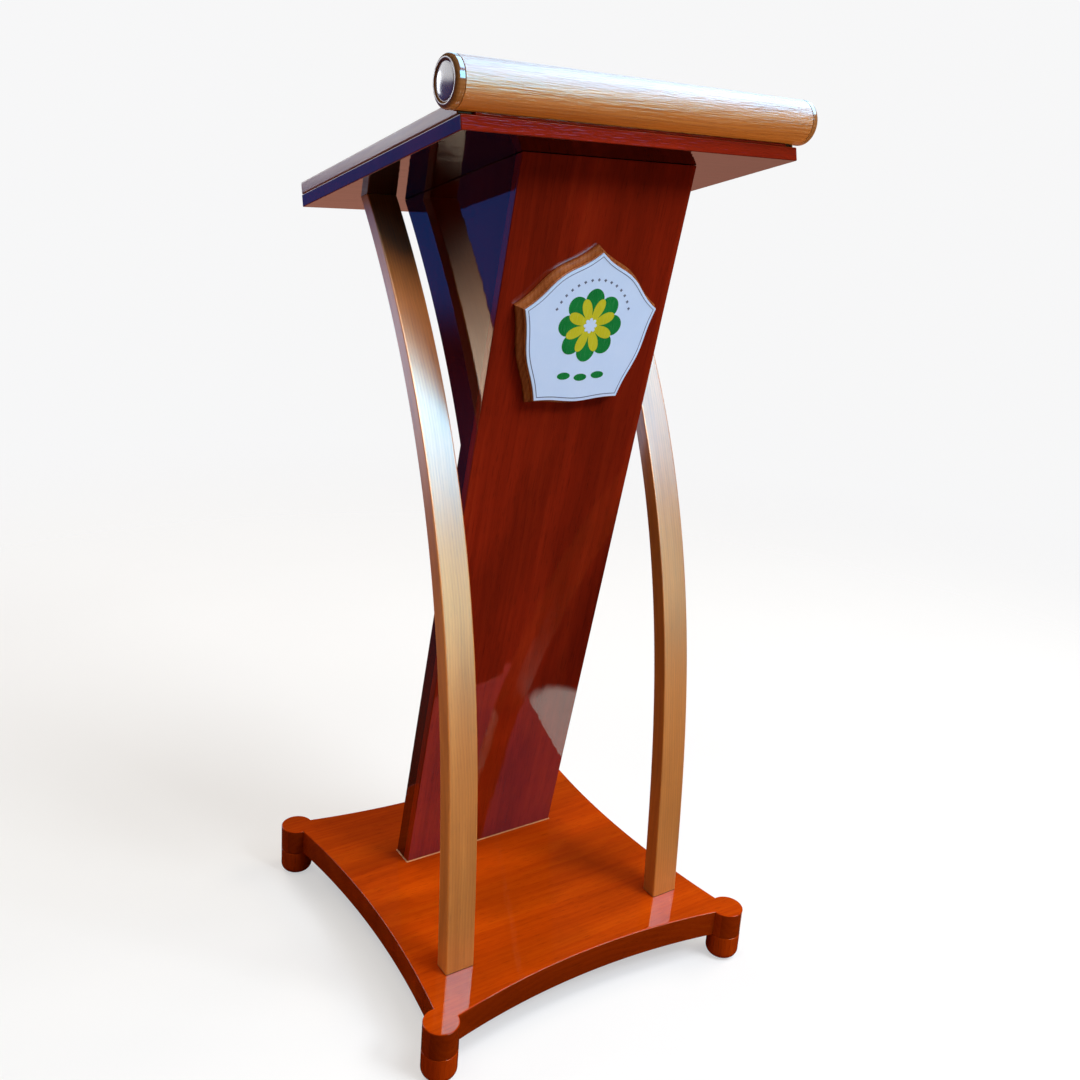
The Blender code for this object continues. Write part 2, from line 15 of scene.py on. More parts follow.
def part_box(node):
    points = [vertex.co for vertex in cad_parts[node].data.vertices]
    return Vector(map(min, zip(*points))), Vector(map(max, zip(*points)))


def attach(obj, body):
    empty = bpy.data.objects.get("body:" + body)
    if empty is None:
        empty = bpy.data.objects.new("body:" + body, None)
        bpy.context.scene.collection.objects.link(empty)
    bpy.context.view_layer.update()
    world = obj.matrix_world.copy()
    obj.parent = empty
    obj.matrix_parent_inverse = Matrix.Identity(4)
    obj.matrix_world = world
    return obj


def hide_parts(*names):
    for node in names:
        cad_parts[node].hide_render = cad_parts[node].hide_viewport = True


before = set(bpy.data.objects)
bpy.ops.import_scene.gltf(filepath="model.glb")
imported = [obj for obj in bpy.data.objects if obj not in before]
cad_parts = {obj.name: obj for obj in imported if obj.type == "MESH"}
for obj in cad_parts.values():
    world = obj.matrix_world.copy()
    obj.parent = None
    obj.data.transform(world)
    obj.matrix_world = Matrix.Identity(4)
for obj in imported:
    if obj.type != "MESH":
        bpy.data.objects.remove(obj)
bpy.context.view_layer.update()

GAP = 0.0003  # hairline joint between two pieces
SHARP = math.radians(34)  # edges sharper than this are rounded, and shaded apart

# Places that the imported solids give
BASE_LOW, BASE_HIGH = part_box("base_board")
FOOT_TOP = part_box("foot_front_left")[1].z

# Base and feet
CORNER_X, CORNER_Y = 0.237, 0.239
LOBE_RADIUS = 0.0235
HOLLOW_FRONT, HOLLOW_SIDE = 0.0202, 0.0190
HOLLOW_FRONT_RADIUS, HOLLOW_SIDE_RADIUS = 1.03, 1.33
FOOT_ROUNDING = 0.011
BASE_TOP = BASE_HIGH.z

# Column
COLUMN_HALF = 0.128
COLUMN_FRONT_Y = 0.071
COLUMN_LEAN = math.radians(10.8)
PANEL_THICK, CHEEK_THICK, BACK_THICK = 0.012, 0.015, 0.008
COLUMN_DEPTH = 0.035
BACK_INSET = 0.002

# Desk
DESK_FRONT = (-0.185, 1.127)
DESK_SLOPE = math.radians(13.8)
DESK_LENGTH, DESK_HALF, DESK_THICK = 0.436, 0.240, 0.0165
RIM_WIDE, RIM_TALL, RIM_FRONT = 0.018, 0.016, 0.006
BED_FRONT, BED_BACK, BED_TALL = 0.001, 0.024, 0.010

# Legs
LEG_INNER, LEG_OUTER, LEG_DEPTH = 0.1523, 0.1942, 0.025
LEG_CURVE = ((-0.1725, BASE_TOP), (-0.1574, 0.3957), (-0.1419, 0.7179), (0.1308, 1.0440))
CHEEK_BEHIND_LEG = 0.006

# Roll
ROLL_Y, ROLL_Z = -0.1713, 1.1726
ROLL_RADIUS, ROLL_HALF, ROLL_CAP = 0.0274, 0.2551, 0.010
CAP_ROUNDING, CAP_GROOVE = 0.005, 0.0192

# Plaque
PLAQUE_CENTRE = 0.852
PLAQUE_CORNERS = ((0, 0.0942), (-0.100, 0.023), (-0.0642, -0.0962), (0.0642, -0.0962), (0.100, 0.023))
PLAQUE_SWELL = (0.0058, 0.0040, 0.0036, 0.0040, 0.0058)
PLAQUE_SWELL_WAVE = (0.75, 0.33)
PLAQUE_DEEP, PLAQUE_FLARE, PLAQUE_LIP = 0.015, 0.0055, 0.0006
PLAQUE_INRADIUS = 0.085
PLAQUE_FACE_THICK = 0.002

# Print on the plate: heights from the plaque's middle, and each film of ink with the air under it
INK, INK_GAP = 0.00012, 0.00002
BORDER_INSET, BORDER_WIDE = 0.0040, 0.0009
DOT_COUNT, DOT_ARC_RADIUS, DOT_ARC_START = 15, 0.0585, 0.12
DOT_INNER, DOT_OUTER = 0.0010, 0.0021
ROSETTE_CENTRE, ROSETTE_PETALS = (0, 0.002), 8
LEAF_SPACING, LEAF_DROP, LEAF_SAG = 0.026, 0.0640, 0.0025
LEAF_RADIUS, LEAF_WIDER, LEAF_LOWER = 0.0078, 1.25, 0.62

SIDES = (("left", -1), ("right", 1))

# Studio colours
COOL, NEUTRAL = (0.60, 0.76, 1.0), (0.92, 0.96, 1.0)
WARM, AMBER, CREAM = (1.0, 0.66, 0.36), (1.0, 0.92, 0.75), (1.0, 0.86, 0.66)
GLAZE, SHEEN, DEEP = (0.08, 0.60, 0.95), (0.20, 0.72, 1.0), (0.36, 0.71, 1.0)
HAZE, GLEAM, SLATE = (0.50, 1.0, 0.75), (0.45, 0.95, 1.0), (0.55, 0.75, 1.0)
SKY_DIM, SKY_FRONT = (0.010, 0.011, 0.014), (0.32, 0.38, 0.95)
SKY_BLUE, SKY_PALE = (0.02, 0.09, 0.40), (2.6, 2.7, 2.9)
FLOOR_PALE, FLOOR_BOUNCE = (0.44, 0.375, 0.30), (0.36, 0.19, 0.10)
FLOOR_MIRRORED_FRONT, FLOOR_MIRRORED_LEFT = (0.012, 0.006, 0.003), (0.012, 0.020, 0.055)
FLOOR_MIRRORED_REAR = (0.72, 0.27, 0.16)
FLOOR_POOL, FLOOR_LIFT = (1.0, 0.80, 0.58), 0.55
POOL_CENTRE, POOL_REACH = (0.335, -0.125, 0), (0.10, 0.125)
BACKDROP = (0.93, 0.93, 0.935, 1)

# Pieces that some lamps are kept to, by the start of their names
LEGS, ROLL = "leg_", ("roll_lacquered", "roll_cap")

# Camera: its place, then its turn about Z, tilt from straight down and roll, in degrees
LENS_PLACE, LENS_TURN = (-0.8171, -1.2165, 1.0944), (-34.3669, 74.1093, 4.2152)
LENS_LENGTH, LENS_SHIFT = 36.98, -0.0502
LIT_CENTRE = Vector((0, 0, 0.75))


# ---------------------------------------------------------------- shader graphs


class Graph:
    """Short calls for the nodes of one material or world."""

    def __init__(self, owner):
        owner.use_nodes = True
        self.tree = owner.node_tree
        self.tree.nodes.clear()

    def node(self, kind, inputs=(), **settings):
        made = self.tree.nodes.new(kind)
        for key, value in settings.items():
            setattr(made, key, value)
        for key, value in dict(inputs).items():
            self.put(made.inputs[key], value)
        return made

    def put(self, socket, value):
        if isinstance(value, bpy.types.NodeSocket):
            self.tree.links.new(value, socket)
        else:
            socket.default_value = value

    def maths(self, operation, a, b=0.0, clamp=False):
        made = self.node("ShaderNodeMath", {0: a, 1: b}, operation=operation, use_clamp=clamp)
        return made.outputs[0]

    def vector(self, operation, a, b=(0, 0, 0)):
        made = self.node("ShaderNodeVectorMath", {0: a, 1: b}, operation=operation)
        return made.outputs["Value" if operation in ("LENGTH", "DOT_PRODUCT") else "Vector"]

    def noise(self, at, counts, detail=2.0, roughness=0.5, distortion=0.0):
        """Noise with this many waves per metre along each axis."""
        inputs = {"Vector": self.vector("MULTIPLY", at, counts), "Scale": 1.0, "Detail": detail}
        inputs.update({"Roughness": roughness, "Distortion": distortion})
        return self.node("ShaderNodeTexNoise", inputs).outputs["Fac"]

    def grey(self, value):
        return self.node("ShaderNodeCombineColor", {0: value, 1: value, 2: value}).outputs[0]

    def spread(self, value, low, high, to_low=0.0, to_high=1.0, smooth=False):
        """Maps low..high to to_low..to_high, clamped."""
        inputs = {0: value, 1: low, 2: high, 3: to_low, 4: to_high}
        kind = "SMOOTHSTEP" if smooth else "LINEAR"
        return self.node("ShaderNodeMapRange", inputs, interpolation_type=kind).outputs[0]

    def ramp(self, value, stops):
        made = self.node("ShaderNodeValToRGB", {0: value})
        elements = made.color_ramp.elements
        while len(elements) < len(stops):
            elements.new(0.5)
        for element, (position, colour) in zip(elements, stops):
            element.position = position
            element.color = (*colour, 1)
        return made.outputs[0]

    def mix(self, share, a, b, blend="MIX"):
        made = self.node("ShaderNodeMix", data_type="RGBA", blend_type=blend)
        self.put(made.inputs["Factor"], share)
        for key, value in (("A", a), ("B", b)):
            socket = next(s for s in made.inputs if s.name == key and s.type == "RGBA")
            self.put(socket, (*value, 1) if isinstance(value, tuple) else value)
        return next(s for s in made.outputs if s.type == "RGBA")

    def bump(self, height, strength, distance):
        inputs = {"Height": height, "Strength": strength, "Distance": distance}
        return self.node("ShaderNodeBump", inputs).outputs[0]

    def attribute(self, name, output):
        return self.node("ShaderNodeAttribute", attribute_name=name).outputs[output]

    def surface(self, **inputs):
        """A Principled shader wired to the output. Spaces in socket names are written as underscores."""
        shader = self.node("ShaderNodeBsdfPrincipled")
        for key, value in inputs.items():
            self.put(shader.inputs[key.replace("_", " ")], value)
        out = self.node("ShaderNodeOutputMaterial")
        self.tree.links.new(shader.outputs[0], out.inputs["Surface"])


def wood(name, dark, middle, light, pith, ring, weights, figure, blotch, coat_ior, coat_roughness, wave,
         pores=0.45, rubbed=(1.0, 0.6, 0.35), wear=0.25, fleck=0.0):
    """Lacquered solid wood: growth rings round a pith, streaks, ribbon figure, fibres and pores.

    weights are the shares of rings, streaks, fibres and ribbon figure in the colour. wave is how far the
    lacquer follows the wood, and fleck is how far it stands up in ridges on faces that keep their full colour.
    """
    material = bpy.data.materials.new(name)
    g = Graph(material)
    at = g.attribute("grain", "Vector")
    sway = g.noise(at, (9, 9, 2.2), 3, 0.55)
    drift = g.noise(at, (30, 30, 5.0), 2, 0.5)
    flat = g.vector("MULTIPLY", g.vector("SUBTRACT", at, (*pith, 0)), (1, 1, 0))
    reach = g.maths("ADD", g.vector("LENGTH", flat), g.maths("MULTIPLY", sway, 0.030))
    reach = g.maths("ADD", reach, g.maths("MULTIPLY", drift, 0.004))
    turn = g.maths("FRACT", g.maths("DIVIDE", reach, ring))
    rings = g.maths("MULTIPLY", g.spread(turn, 0.0, 0.82, 0, 1, True), g.spread(turn, 0.86, 1.0, 1, 0, True))
    streak = g.noise(at, (95, 95, 1.7), 5, 0.62, distortion=0.25)
    fibre = g.noise(at, (760, 760, 15), 3, 0.6)
    ribbon = g.noise(at, (figure, figure * 0.6, 1.1), 2, 0.45, distortion=0.5)
    share = 0.5
    for value, weight, contrast in zip((rings, streak, fibre, ribbon), weights, (1.0, 2.4, 2.0, 2.6)):
        centred = g.maths("MULTIPLY", g.maths("SUBTRACT", value, 0.5), weight * contrast)
        share = g.maths("ADD", share, centred, clamp=True)
    colour = g.ramp(share, ((0.08, dark), (0.5, middle), (0.92, light)))
    cloud = g.noise(at, (11, 11, 3.6), 3, 0.55)
    shade = g.spread(cloud, 0.3, 0.7, 1.0 - blotch, 1.0 + blotch * 0.4, True)
    colour = g.mix(1.0, colour, g.grey(shade), "MULTIPLY")
    pore = g.noise(at, (1500, 1500, 48), 1, 0.5)
    pore = g.spread(pore, 0.60, 0.70, 0, 1, True)
    deep = tuple(c * 0.25 for c in dark)
    colour = g.mix(g.maths("MULTIPLY", pore, pores), colour, deep)
    chafe = g.noise(at, (60, 60, 26), 3, 0.6)
    rub = g.maths("MULTIPLY", g.attribute("edge", "Fac"), g.spread(chafe, 0.42, 0.62, 0.25, 1, True))
    pale = tuple(min(1.0, m * 0.6 + l * 0.9) * r for m, l, r in zip(middle, light, rubbed))
    colour = g.mix(g.maths("MULTIPLY", rub, wear), colour, pale)
    stain = g.attribute("stain", "Fac")
    colour = g.mix(1.0, colour, g.grey(stain), "MULTIPLY")
    smear = g.noise(at, (14, 14, 5), 4, 0.6)
    rough = g.spread(smear, 0.3, 0.7, 0.27, 0.43)
    rough = g.maths("ADD", rough, g.maths("MULTIPLY", pore, 0.12), clamp=True)
    grainy = g.maths("SUBTRACT", g.maths("MULTIPLY", fibre, 0.35), g.maths("MULTIPLY", pore, 1.0))
    normal = g.bump(grainy, 0.30, 0.00012)
    peel = g.noise(at, (150, 150, 70), 2, 0.5)
    swell = g.noise(at, (46, 46, 7), 2, 0.5)
    film = g.maths("ADD", swell, g.maths("MULTIPLY", peel, 0.10))
    if fleck:
        ridges = g.noise(at, (430, 430, 36), 2, 0.55)
        ridges = g.maths("MULTIPLY", ridges, g.spread(stain, 0.85, 0.95, 0, fleck))
        film = g.maths("ADD", film, ridges)
    coat_normal = g.bump(film, wave, 0.0012)
    g.surface(Base_Color=colour, Roughness=rough, Normal=normal, Coat_Weight=1.0, Coat_IOR=coat_ior,
              Coat_Roughness=coat_roughness, Coat_Normal=coat_normal, Specular_IOR_Level=0.0)
    return material


def plain_wood(name, dark, light, roughness):
    """Bare sawn wood for the pieces hidden inside, with its grain along X."""
    material = bpy.data.materials.new(name)
    g = Graph(material)
    at = g.node("ShaderNodeTexCoord").outputs["Object"]
    streak = g.noise(at, (6, 220, 220), 4, 0.6)
    fuzz = g.noise(at, (700, 900, 900), 2, 0.6)
    both = g.maths("ADD", g.maths("MULTIPLY", streak, 0.75), g.maths("MULTIPLY", fuzz, 0.25))
    colour = g.ramp(both, ((0.3, dark), (0.7, light)))
    rough = g.spread(fuzz, 0.3, 0.7, roughness - 0.08, roughness + 0.08)
    g.surface(Base_Color=colour, Roughness=rough, Normal=g.bump(both, 0.4, 0.0003))
    return material


def zinc(name):
    """Zinc-plated steel: a mottled bluish grey."""
    material = bpy.data.materials.new(name)
    g = Graph(material)
    at = g.node("ShaderNodeTexCoord").outputs["Object"]
    spangle = g.noise(at, (900, 900, 900), 3, 0.6)
    colour = g.ramp(spangle, ((0.3, (0.42, 0.43, 0.45)), (0.7, (0.68, 0.69, 0.70))))
    rough = g.spread(spangle, 0.3, 0.7, 0.24, 0.42)
    g.surface(Base_Color=colour, Metallic=1.0, Roughness=rough, Normal=g.bump(spangle, 0.3, 0.0001))
    return material


def enamel(name, colour, other, roughness=0.22, coat=0.6):
    """A printed or sprayed gloss surface with faint mottling and fine dust scratches."""
    material = bpy.data.materials.new(name)
    g = Graph(material)
    at = g.attribute("grain", "Vector")
    cloud = g.noise(at, (30, 30, 30), 3, 0.55)
    speck = g.noise(at, (1300, 1300, 1300), 2, 0.6)
    tone = g.maths("ADD", g.maths("MULTIPLY", cloud, 0.85), g.maths("MULTIPLY", speck, 0.15))
    shade = g.ramp(tone, ((0.35, other), (0.65, colour)))
    scratch = g.noise(at, (2400, 40, 60), 2, 0.5)
    rough = g.spread(scratch, 0.35, 0.75, roughness - 0.04, roughness + 0.10)
    g.surface(Base_Color=shade, Roughness=rough, Normal=g.bump(speck, 0.15, 0.00005), Coat_Weight=coat,
              Coat_IOR=1.5, Coat_Roughness=0.06)
    return material


BASE_WOOD = wood("base_lacquer", (0.38, 0.030, 0.0004), (0.50, 0.046, 0.0006), (0.59, 0.066, 0.0010),
                 weights=(0.16, 0.36, 0.12, 0.36), figure=24, blotch=0.22, pith=(0.02, -0.09), ring=0.006,
                 coat_ior=1.8, coat_roughness=0.03, wave=0.10)
COLUMN_WOOD = wood("column_lacquer", (0.21, 0.0105, 0.002), (0.29, 0.0165, 0.0032), (0.36, 0.025, 0.0048),
                   weights=(0.14, 0.36, 0.12, 0.40), figure=26, blotch=0.25, pith=(0.03, -0.11), ring=0.007,
                   coat_ior=2.0, coat_roughness=0.035, wave=0.10, rubbed=(1.0, 0.7, 0.5))
DESK_WOOD = wood("desk_lacquer", (0.21, 0.0105, 0.002), (0.29, 0.0165, 0.0032), (0.36, 0.025, 0.0048),
                 weights=(0.14, 0.36, 0.12, 0.40), figure=26, blotch=0.25, pith=(0.2, -0.10), ring=0.007,
                 coat_ior=2.0, coat_roughness=0.035, wave=0.45, fleck=1.2, rubbed=(1.2, 0.9, 0.6))
HONEY_WOOD = wood("honey_lacquer", (0.28, 0.078, 0.008), (0.38, 0.115, 0.013), (0.47, 0.170, 0.028),
                  weights=(0.26, 0.45, 0.25, 0.20), figure=32, blotch=0.16, pith=(0.035, -0.03), ring=0.0042,
                  pores=0.30, rubbed=(1.0, 0.9, 0.75), coat_ior=2.15, coat_roughness=0.34, wave=0.25)
ROLL_WOOD = wood("roll_lacquer", (0.24, 0.062, 0.006), (0.33, 0.098, 0.012), (0.42, 0.150, 0.026),
                 weights=(0.26, 0.45, 0.25, 0.20), figure=32, blotch=0.16, pith=(0.045, -0.05), ring=0.0042,
                 pores=0.30, rubbed=(1.0, 0.9, 0.75), coat_ior=2.15, coat_roughness=0.34, wave=0.6, fleck=1.6)
CAP_WOOD = wood("cap_lacquer", (0.16, 0.055, 0.012), (0.23, 0.085, 0.022), (0.31, 0.13, 0.04),
                weights=(0.26, 0.30, 0.10, 0.10), figure=32, blotch=0.16, pith=(0.045, -0.05), ring=0.0042,
                pores=0.15, rubbed=(1.0, 0.9, 0.75), coat_ior=2.15, coat_roughness=0.13, wave=0.12)
PLAQUE_WOOD = wood("plaque_lacquer", (0.18, 0.040, 0.008), (0.30, 0.082, 0.019), (0.42, 0.14, 0.042),
                   weights=(0.20, 0.40, 0.20, 0.20), figure=34, blotch=0.2, pith=(0.06, -0.04), ring=0.0042,
                   rubbed=(1.1, 1.0, 0.8), wear=0.5, coat_ior=1.9, coat_roughness=0.2, wave=0.2)
PLATE = enamel("plate_white", (0.74, 0.86, 0.98), (0.71, 0.84, 0.97), 0.20)
PRINT_GREEN = enamel("print_green", (0.012, 0.26, 0.045), (0.008, 0.21, 0.036))
PRINT_YELLOW = enamel("print_yellow", (0.74, 0.66, 0.03), (0.66, 0.58, 0.02))
PRINT_GREY = enamel("print_grey", (0.16, 0.17, 0.22), (0.12, 0.13, 0.17))
FILLET = enamel("foot_fillet", (0.66, 0.26, 0.08), (0.52, 0.17, 0.05), 0.30, 0.3)
PINE = plain_wood("bare_pine", (0.42, 0.26, 0.12), (0.66, 0.50, 0.29), 0.65)
BEECH = plain_wood("bare_beech", (0.48, 0.31, 0.16), (0.68, 0.50, 0.31), 0.6)
ZINC = zinc("zinc_plate")


# ---------------------------------------------------------------- mesh helpers

SHOWN_PIECES = []


def loft(rings):
    """Skins rings that hold equal numbers of points, and closes both ends."""
    bm = bmesh.new()
    rows = [[bm.verts.new(point) for point in ring] for ring in rings]
    count = len(rows[0])
    for low, high in zip(rows, rows[1:]):
        for i in range(count):
            j = (i + 1) % count
            bm.faces.new((low[i], low[j], high[j], high[i]))
    bm.faces.new(rows[0])
    bm.faces.new(rows[-1])
    return bm


def prism(outline, x0, x1):
    """A (y, z) outline carried from x0 to x1."""
    return loft([[(x, y, z) for y, z in outline] for x in (x0, x1)])


def box(low, high):
    (x0, y0, z0), (x1, y1, z1) = low, high
    return prism([(y0, z0), (y1, z0), (y1, z1), (y0, z1)], x0, x1)


def turned(profile, steps):
    """A solid of revolution about Z. The (radius, z) profile starts and ends on the axis."""
    bm = bmesh.new()
    angles = [2 * math.pi * k / steps for k in range(steps)]
    rows = []
    for radius, z in profile:
        ring = angles if radius else angles[:1]
        rows.append([bm.verts.new((radius * math.cos(a), radius * math.sin(a), z)) for a in ring])
    for low, high in zip(rows, rows[1:]):
        for i in range(steps):
            j = (i + 1) % steps
            corners = (low[i % len(low)], low[j % len(low)], high[j % len(high)], high[i % len(high)])
            bm.faces.new(tuple(dict.fromkeys(corners)))  # a triangle where a row is one point on the axis
    return bm


def arc(centre, radius, start, end, steps):
    angles = [start + (end - start) * k / steps for k in range(steps + 1)]
    return [(centre[0] + radius * math.cos(a), centre[1] + radius * math.sin(a)) for a in angles]


def ease(bm, width, segments=3, skip=None):
    """Rounds the sharp edges and marks the rounding as worn edge. Edges wholly within skip stay sharp."""
    bmesh.ops.recalc_face_normals(bm, faces=bm.faces)
    edges = [e for e in bm.edges if e.is_manifold and e.calc_face_angle(0) > SHARP]
    if skip:
        edges = [e for e in edges if not all(skip(v.co) for v in e.verts)]
    before = set(bm.faces)
    made = bmesh.ops.bevel(bm, geom=edges, offset=width, segments=segments, profile=0.5, affect="EDGES",
                           clamp_overlap=True)
    mark = bm.faces.layers.float.new("edge")
    for face in made["faces"]:
        if face not in before and face.is_valid:
            face[mark] = 1.0
    return bm


def settle(name, bm, material, nodes, grain, place=None, stain=None):
    """Turns a bmesh into a shown piece that rides on the lectern.

    grain takes a point in the bmesh's own frame to (across, through, along). place moves it to the row frame.
    stain gives how much of the colour a face keeps, from its normal and centre in the bmesh's own frame.
    """
    bmesh.ops.recalc_face_normals(bm, faces=bm.faces)
    mesh = bpy.data.meshes.new(name)
    bm.to_mesh(mesh)
    bm.free()
    start = random.Random(name)
    shift = Vector((start.uniform(-0.02, 0.02), start.uniform(-0.02, 0.02), start.uniform(0, 9)))
    store = mesh.attributes.new("grain", "FLOAT_VECTOR", "POINT")
    for vertex, item in zip(mesh.vertices, store.data):
        item.vector = Vector(grain(vertex.co)) + shift
    if "edge" not in mesh.attributes:
        mesh.attributes.new("edge", "FLOAT", "FACE")
    share = mesh.attributes.new("stain", "FLOAT", "FACE")
    for face, item in zip(mesh.polygons, share.data):
        item.value = stain(face.normal, face.center) if stain else 1.0
    if place:
        mesh.transform(place)
    for face in mesh.polygons:
        face.use_smooth = True
    mesh.set_sharp_from_angle(angle=SHARP)
    mesh.materials.append(material)
    obj = bpy.data.objects.new(name, mesh)
    bpy.context.scene.collection.objects.link(obj)
    weighted = obj.modifiers.new("flat_faces", "WEIGHTED_NORMAL")
    weighted.keep_sharp = True
    weighted.weight = 80
    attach(obj, "root")
    if nodes:
        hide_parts(*nodes)
    SHOWN_PIECES.append(obj)
    return obj


def as_is(p):
    return (p.x, p.y, p.z)


def across_grain(p):
    """Grain coordinates of a board whose grain runs along X."""
    return (p.y, p.z, p.x)


def lengthwise(p):
    """Grain coordinates of a board whose grain runs along Y."""
    return (p.x, p.z, p.y)


# ---------------------------------------------------------------- base and feet


def circles_meet(a, radius_a, b, radius_b, near):
    """The crossing of two circles that lies nearer to a point."""
    across = Vector(b) - Vector(a)
    along = (radius_a**2 - radius_b**2 + across.length_squared) / (2 * across.length)
    across.normalize()
    foot = Vector(a) + across * along
    aside = Vector((-across.y, across.x)) * math.sqrt(radius_a**2 - along**2)
    return min((foot + aside, foot - aside), key=lambda p: (p - Vector(near)).length)


def bearing(point, centre):
    return math.atan2(point[1] - centre[1], point[0] - centre[0])


def base_outline(inset):
    """The base's plan, anticlockwise: four lobes joined by four hollow sides."""
    lobe = LOBE_RADIUS - inset
    corners = [(CORNER_X, CORNER_Y), (-CORNER_X, CORNER_Y), (-CORNER_X, -CORNER_Y), (CORNER_X, -CORNER_Y)]
    circles = []
    for k in range(4):
        across = k % 2 == 0
        radius = HOLLOW_FRONT_RADIUS if across else HOLLOW_SIDE_RADIUS
        reach = radius + (CORNER_Y - HOLLOW_FRONT if across else CORNER_X - HOLLOW_SIDE)
        facing = math.pi / 2 * (k + 1)
        circles.append(((reach * math.cos(facing), reach * math.sin(facing)), radius + inset))
    points = []
    for k, corner in enumerate(corners):
        follow = corners[(k + 1) % 4]
        enter = circles_meet(corner, lobe, *circles[k - 1], near=corners[k - 1])
        leave = circles_meet(corner, lobe, *circles[k], near=follow)
        arrive = circles_meet(follow, lobe, *circles[k], near=corner)
        start, end = bearing(enter, corner), bearing(leave, corner)
        points += arc(corner, lobe, start, end if end > start else end + 2 * math.pi, 40)
        centre, radius = circles[k]
        start = bearing(leave, centre)
        sweep = (bearing(arrive, centre) - start + math.pi) % (2 * math.pi) - math.pi
        points += arc(centre, radius, start, start + sweep, 48)[1:-1]
    return points


def base_stain(normal, centre):
    if normal.z > 0.5:
        return 1.0
    return 0.6 if normal.y < -0.5 else 0.85


def make_base():
    top_edge, low_edge = 0.0016, 0.0008
    bottom = BASE_LOW.z
    levels = [(bottom + low_edge * (1 - math.sin(a)), low_edge * (1 - math.cos(a)))
              for a in (math.pi / 2 * k / 3 for k in (3, 2, 1, 0))]
    levels += [(BASE_TOP - top_edge * (1 - math.sin(a)), top_edge * (1 - math.cos(a)))
               for a in (math.pi / 2 * k / 5 for k in range(6))]
    rings = [[(x, y, z) for x, y in base_outline(inset)] for z, inset in levels]
    bm = loft(rings)
    mark = bm.faces.layers.float.new("edge")
    for face in bm.faces:
        if len(face.verts) == 4 and BASE_TOP - top_edge - 1e-6 < face.calc_center_median().z:
            face[mark] = 1.0
    settle("base_board_lacquered", bm, BASE_WOOD, ["base_board"], across_grain,
           stain=base_stain)


def make_feet():
    """Turned feet: a soft rounded toe, straight sides and a crisp top edge."""
    top, edge = FOOT_TOP, 0.0008
    profile = [(0, 0)]
    profile += arc((LOBE_RADIUS - FOOT_ROUNDING, FOOT_ROUNDING), FOOT_ROUNDING, -math.pi / 2, 0, 14)
    profile += [(LOBE_RADIUS, top - 0.012), (LOBE_RADIUS, top - 0.0009)]
    profile += arc((LOBE_RADIUS - edge, top - edge), edge, 0.2, math.pi / 2, 3)
    profile += [(0, top)]
    for end, sy in (("front", -1), ("back", 1)):
        for tag, sx in SIDES:
            name = f"foot_{end}_{tag}"
            settle(f"{name}_turned", turned(profile, 72), BASE_WOOD, [name], as_is,
                   Matrix.Translation((sx * CORNER_X, sy * CORNER_Y, 0)))


# ---------------------------------------------------------------- legs


def desk_underside(y):
    return DESK_FRONT[1] - math.tan(DESK_SLOPE) * (y - DESK_FRONT[0])


def leg_curve(t, behind):
    """A point (y, z) of the legs' front face, moved back by behind."""
    weights = ((1 - t) ** 3, 3 * t * (1 - t) ** 2, 3 * t * t * (1 - t), t**3)
    y, z = (sum(w * p[axis] for w, p in zip(weights, LEG_CURVE)) for axis in (0, 1))
    return y + behind, z


def where_first(condition, behind):
    """The first share of the legs' curve, moved back by behind, that meets a condition on (y, z)."""
    low, high = 0.0, 1.1
    for _ in range(40):
        middle = (low + high) / 2
        if condition(*leg_curve(middle, behind)):
            high = middle
        else:
            low = middle
    return high


def above_base(y, z):
    return z > BASE_TOP + GAP


def at_desk(y, z):
    return z > desk_underside(y) - GAP


def rounded_section(x0, x1, deep, radius, steps):
    """A rectangle (x, behind) with rounded corners, anticlockwise."""
    points = []
    for cx, cy, start in ((x1 - radius, deep - radius, 0), (x0 + radius, deep - radius, 1),
                          (x0 + radius, radius, 2), (x1 - radius, radius, 3)):
        points += arc((cx, cy), radius, start * math.pi / 2, (start + 1) * math.pi / 2, steps)
    return points


def make_leg(tag, side):
    """A bowed leg, swept along its curve with rounded arrises. A fine dark line runs round its foot."""
    radius, stations, line = 0.0022, 110, 0.0016
    x0, x1 = sorted((side * LEG_INNER, side * LEG_OUTER))
    section = rounded_section(x0, x1, LEG_DEPTH, radius, 5)
    spans = {b: (where_first(above_base, b), where_first(at_desk, b)) for _, b in section}
    rings = []
    line_share = 0.0014
    for share in (0, line_share, *(k / stations for k in range(1, stations + 1))):
        ring = []
        for x, b in section:
            start, end = spans[b]
            y, z = leg_curve(start + (end - start) * share, b)
            ring.append((x, y, z))
        rings.append(ring)
    bm = loft(rings)
    mark = bm.faces.layers.float.new("edge")
    for face in bm.faces:
        middle_x = face.calc_center_median().x
        from_side = min(abs(middle_x - x0), abs(middle_x - x1))
        if len(face.verts) == 4 and 1e-5 < from_side < radius * 0.95:
            face[mark] = 1.0
    lengths, total = [0.0], 0.0
    middle = [Vector(leg_curve(k / stations, 0)) for k in range(stations + 1)]
    for a, b in zip(middle, middle[1:]):
        total += (b - a).length
        lengths.append(total)

    def grain(p):
        k = min(range(stations + 1), key=lambda i: abs(middle[i].y - p.z))
        behind = p.y - middle[k].x
        return (p.x, behind, lengths[k] + (p.z - middle[k].y))

    settle(f"leg_{tag}_bowed", bm, HONEY_WOOD, [f"leg_{tag}"], grain,
           stain=lambda normal, centre: 0.35 if centre.z < BASE_TOP + line else 1.0)


# ---------------------------------------------------------------- column


def column_front(z, behind=0.0):
    return COLUMN_FRONT_Y - math.tan(COLUMN_LEAN) * (z - BASE_TOP) + behind


def level(thickness):
    """A leaning board's thickness, measured level."""
    return thickness / math.cos(COLUMN_LEAN)


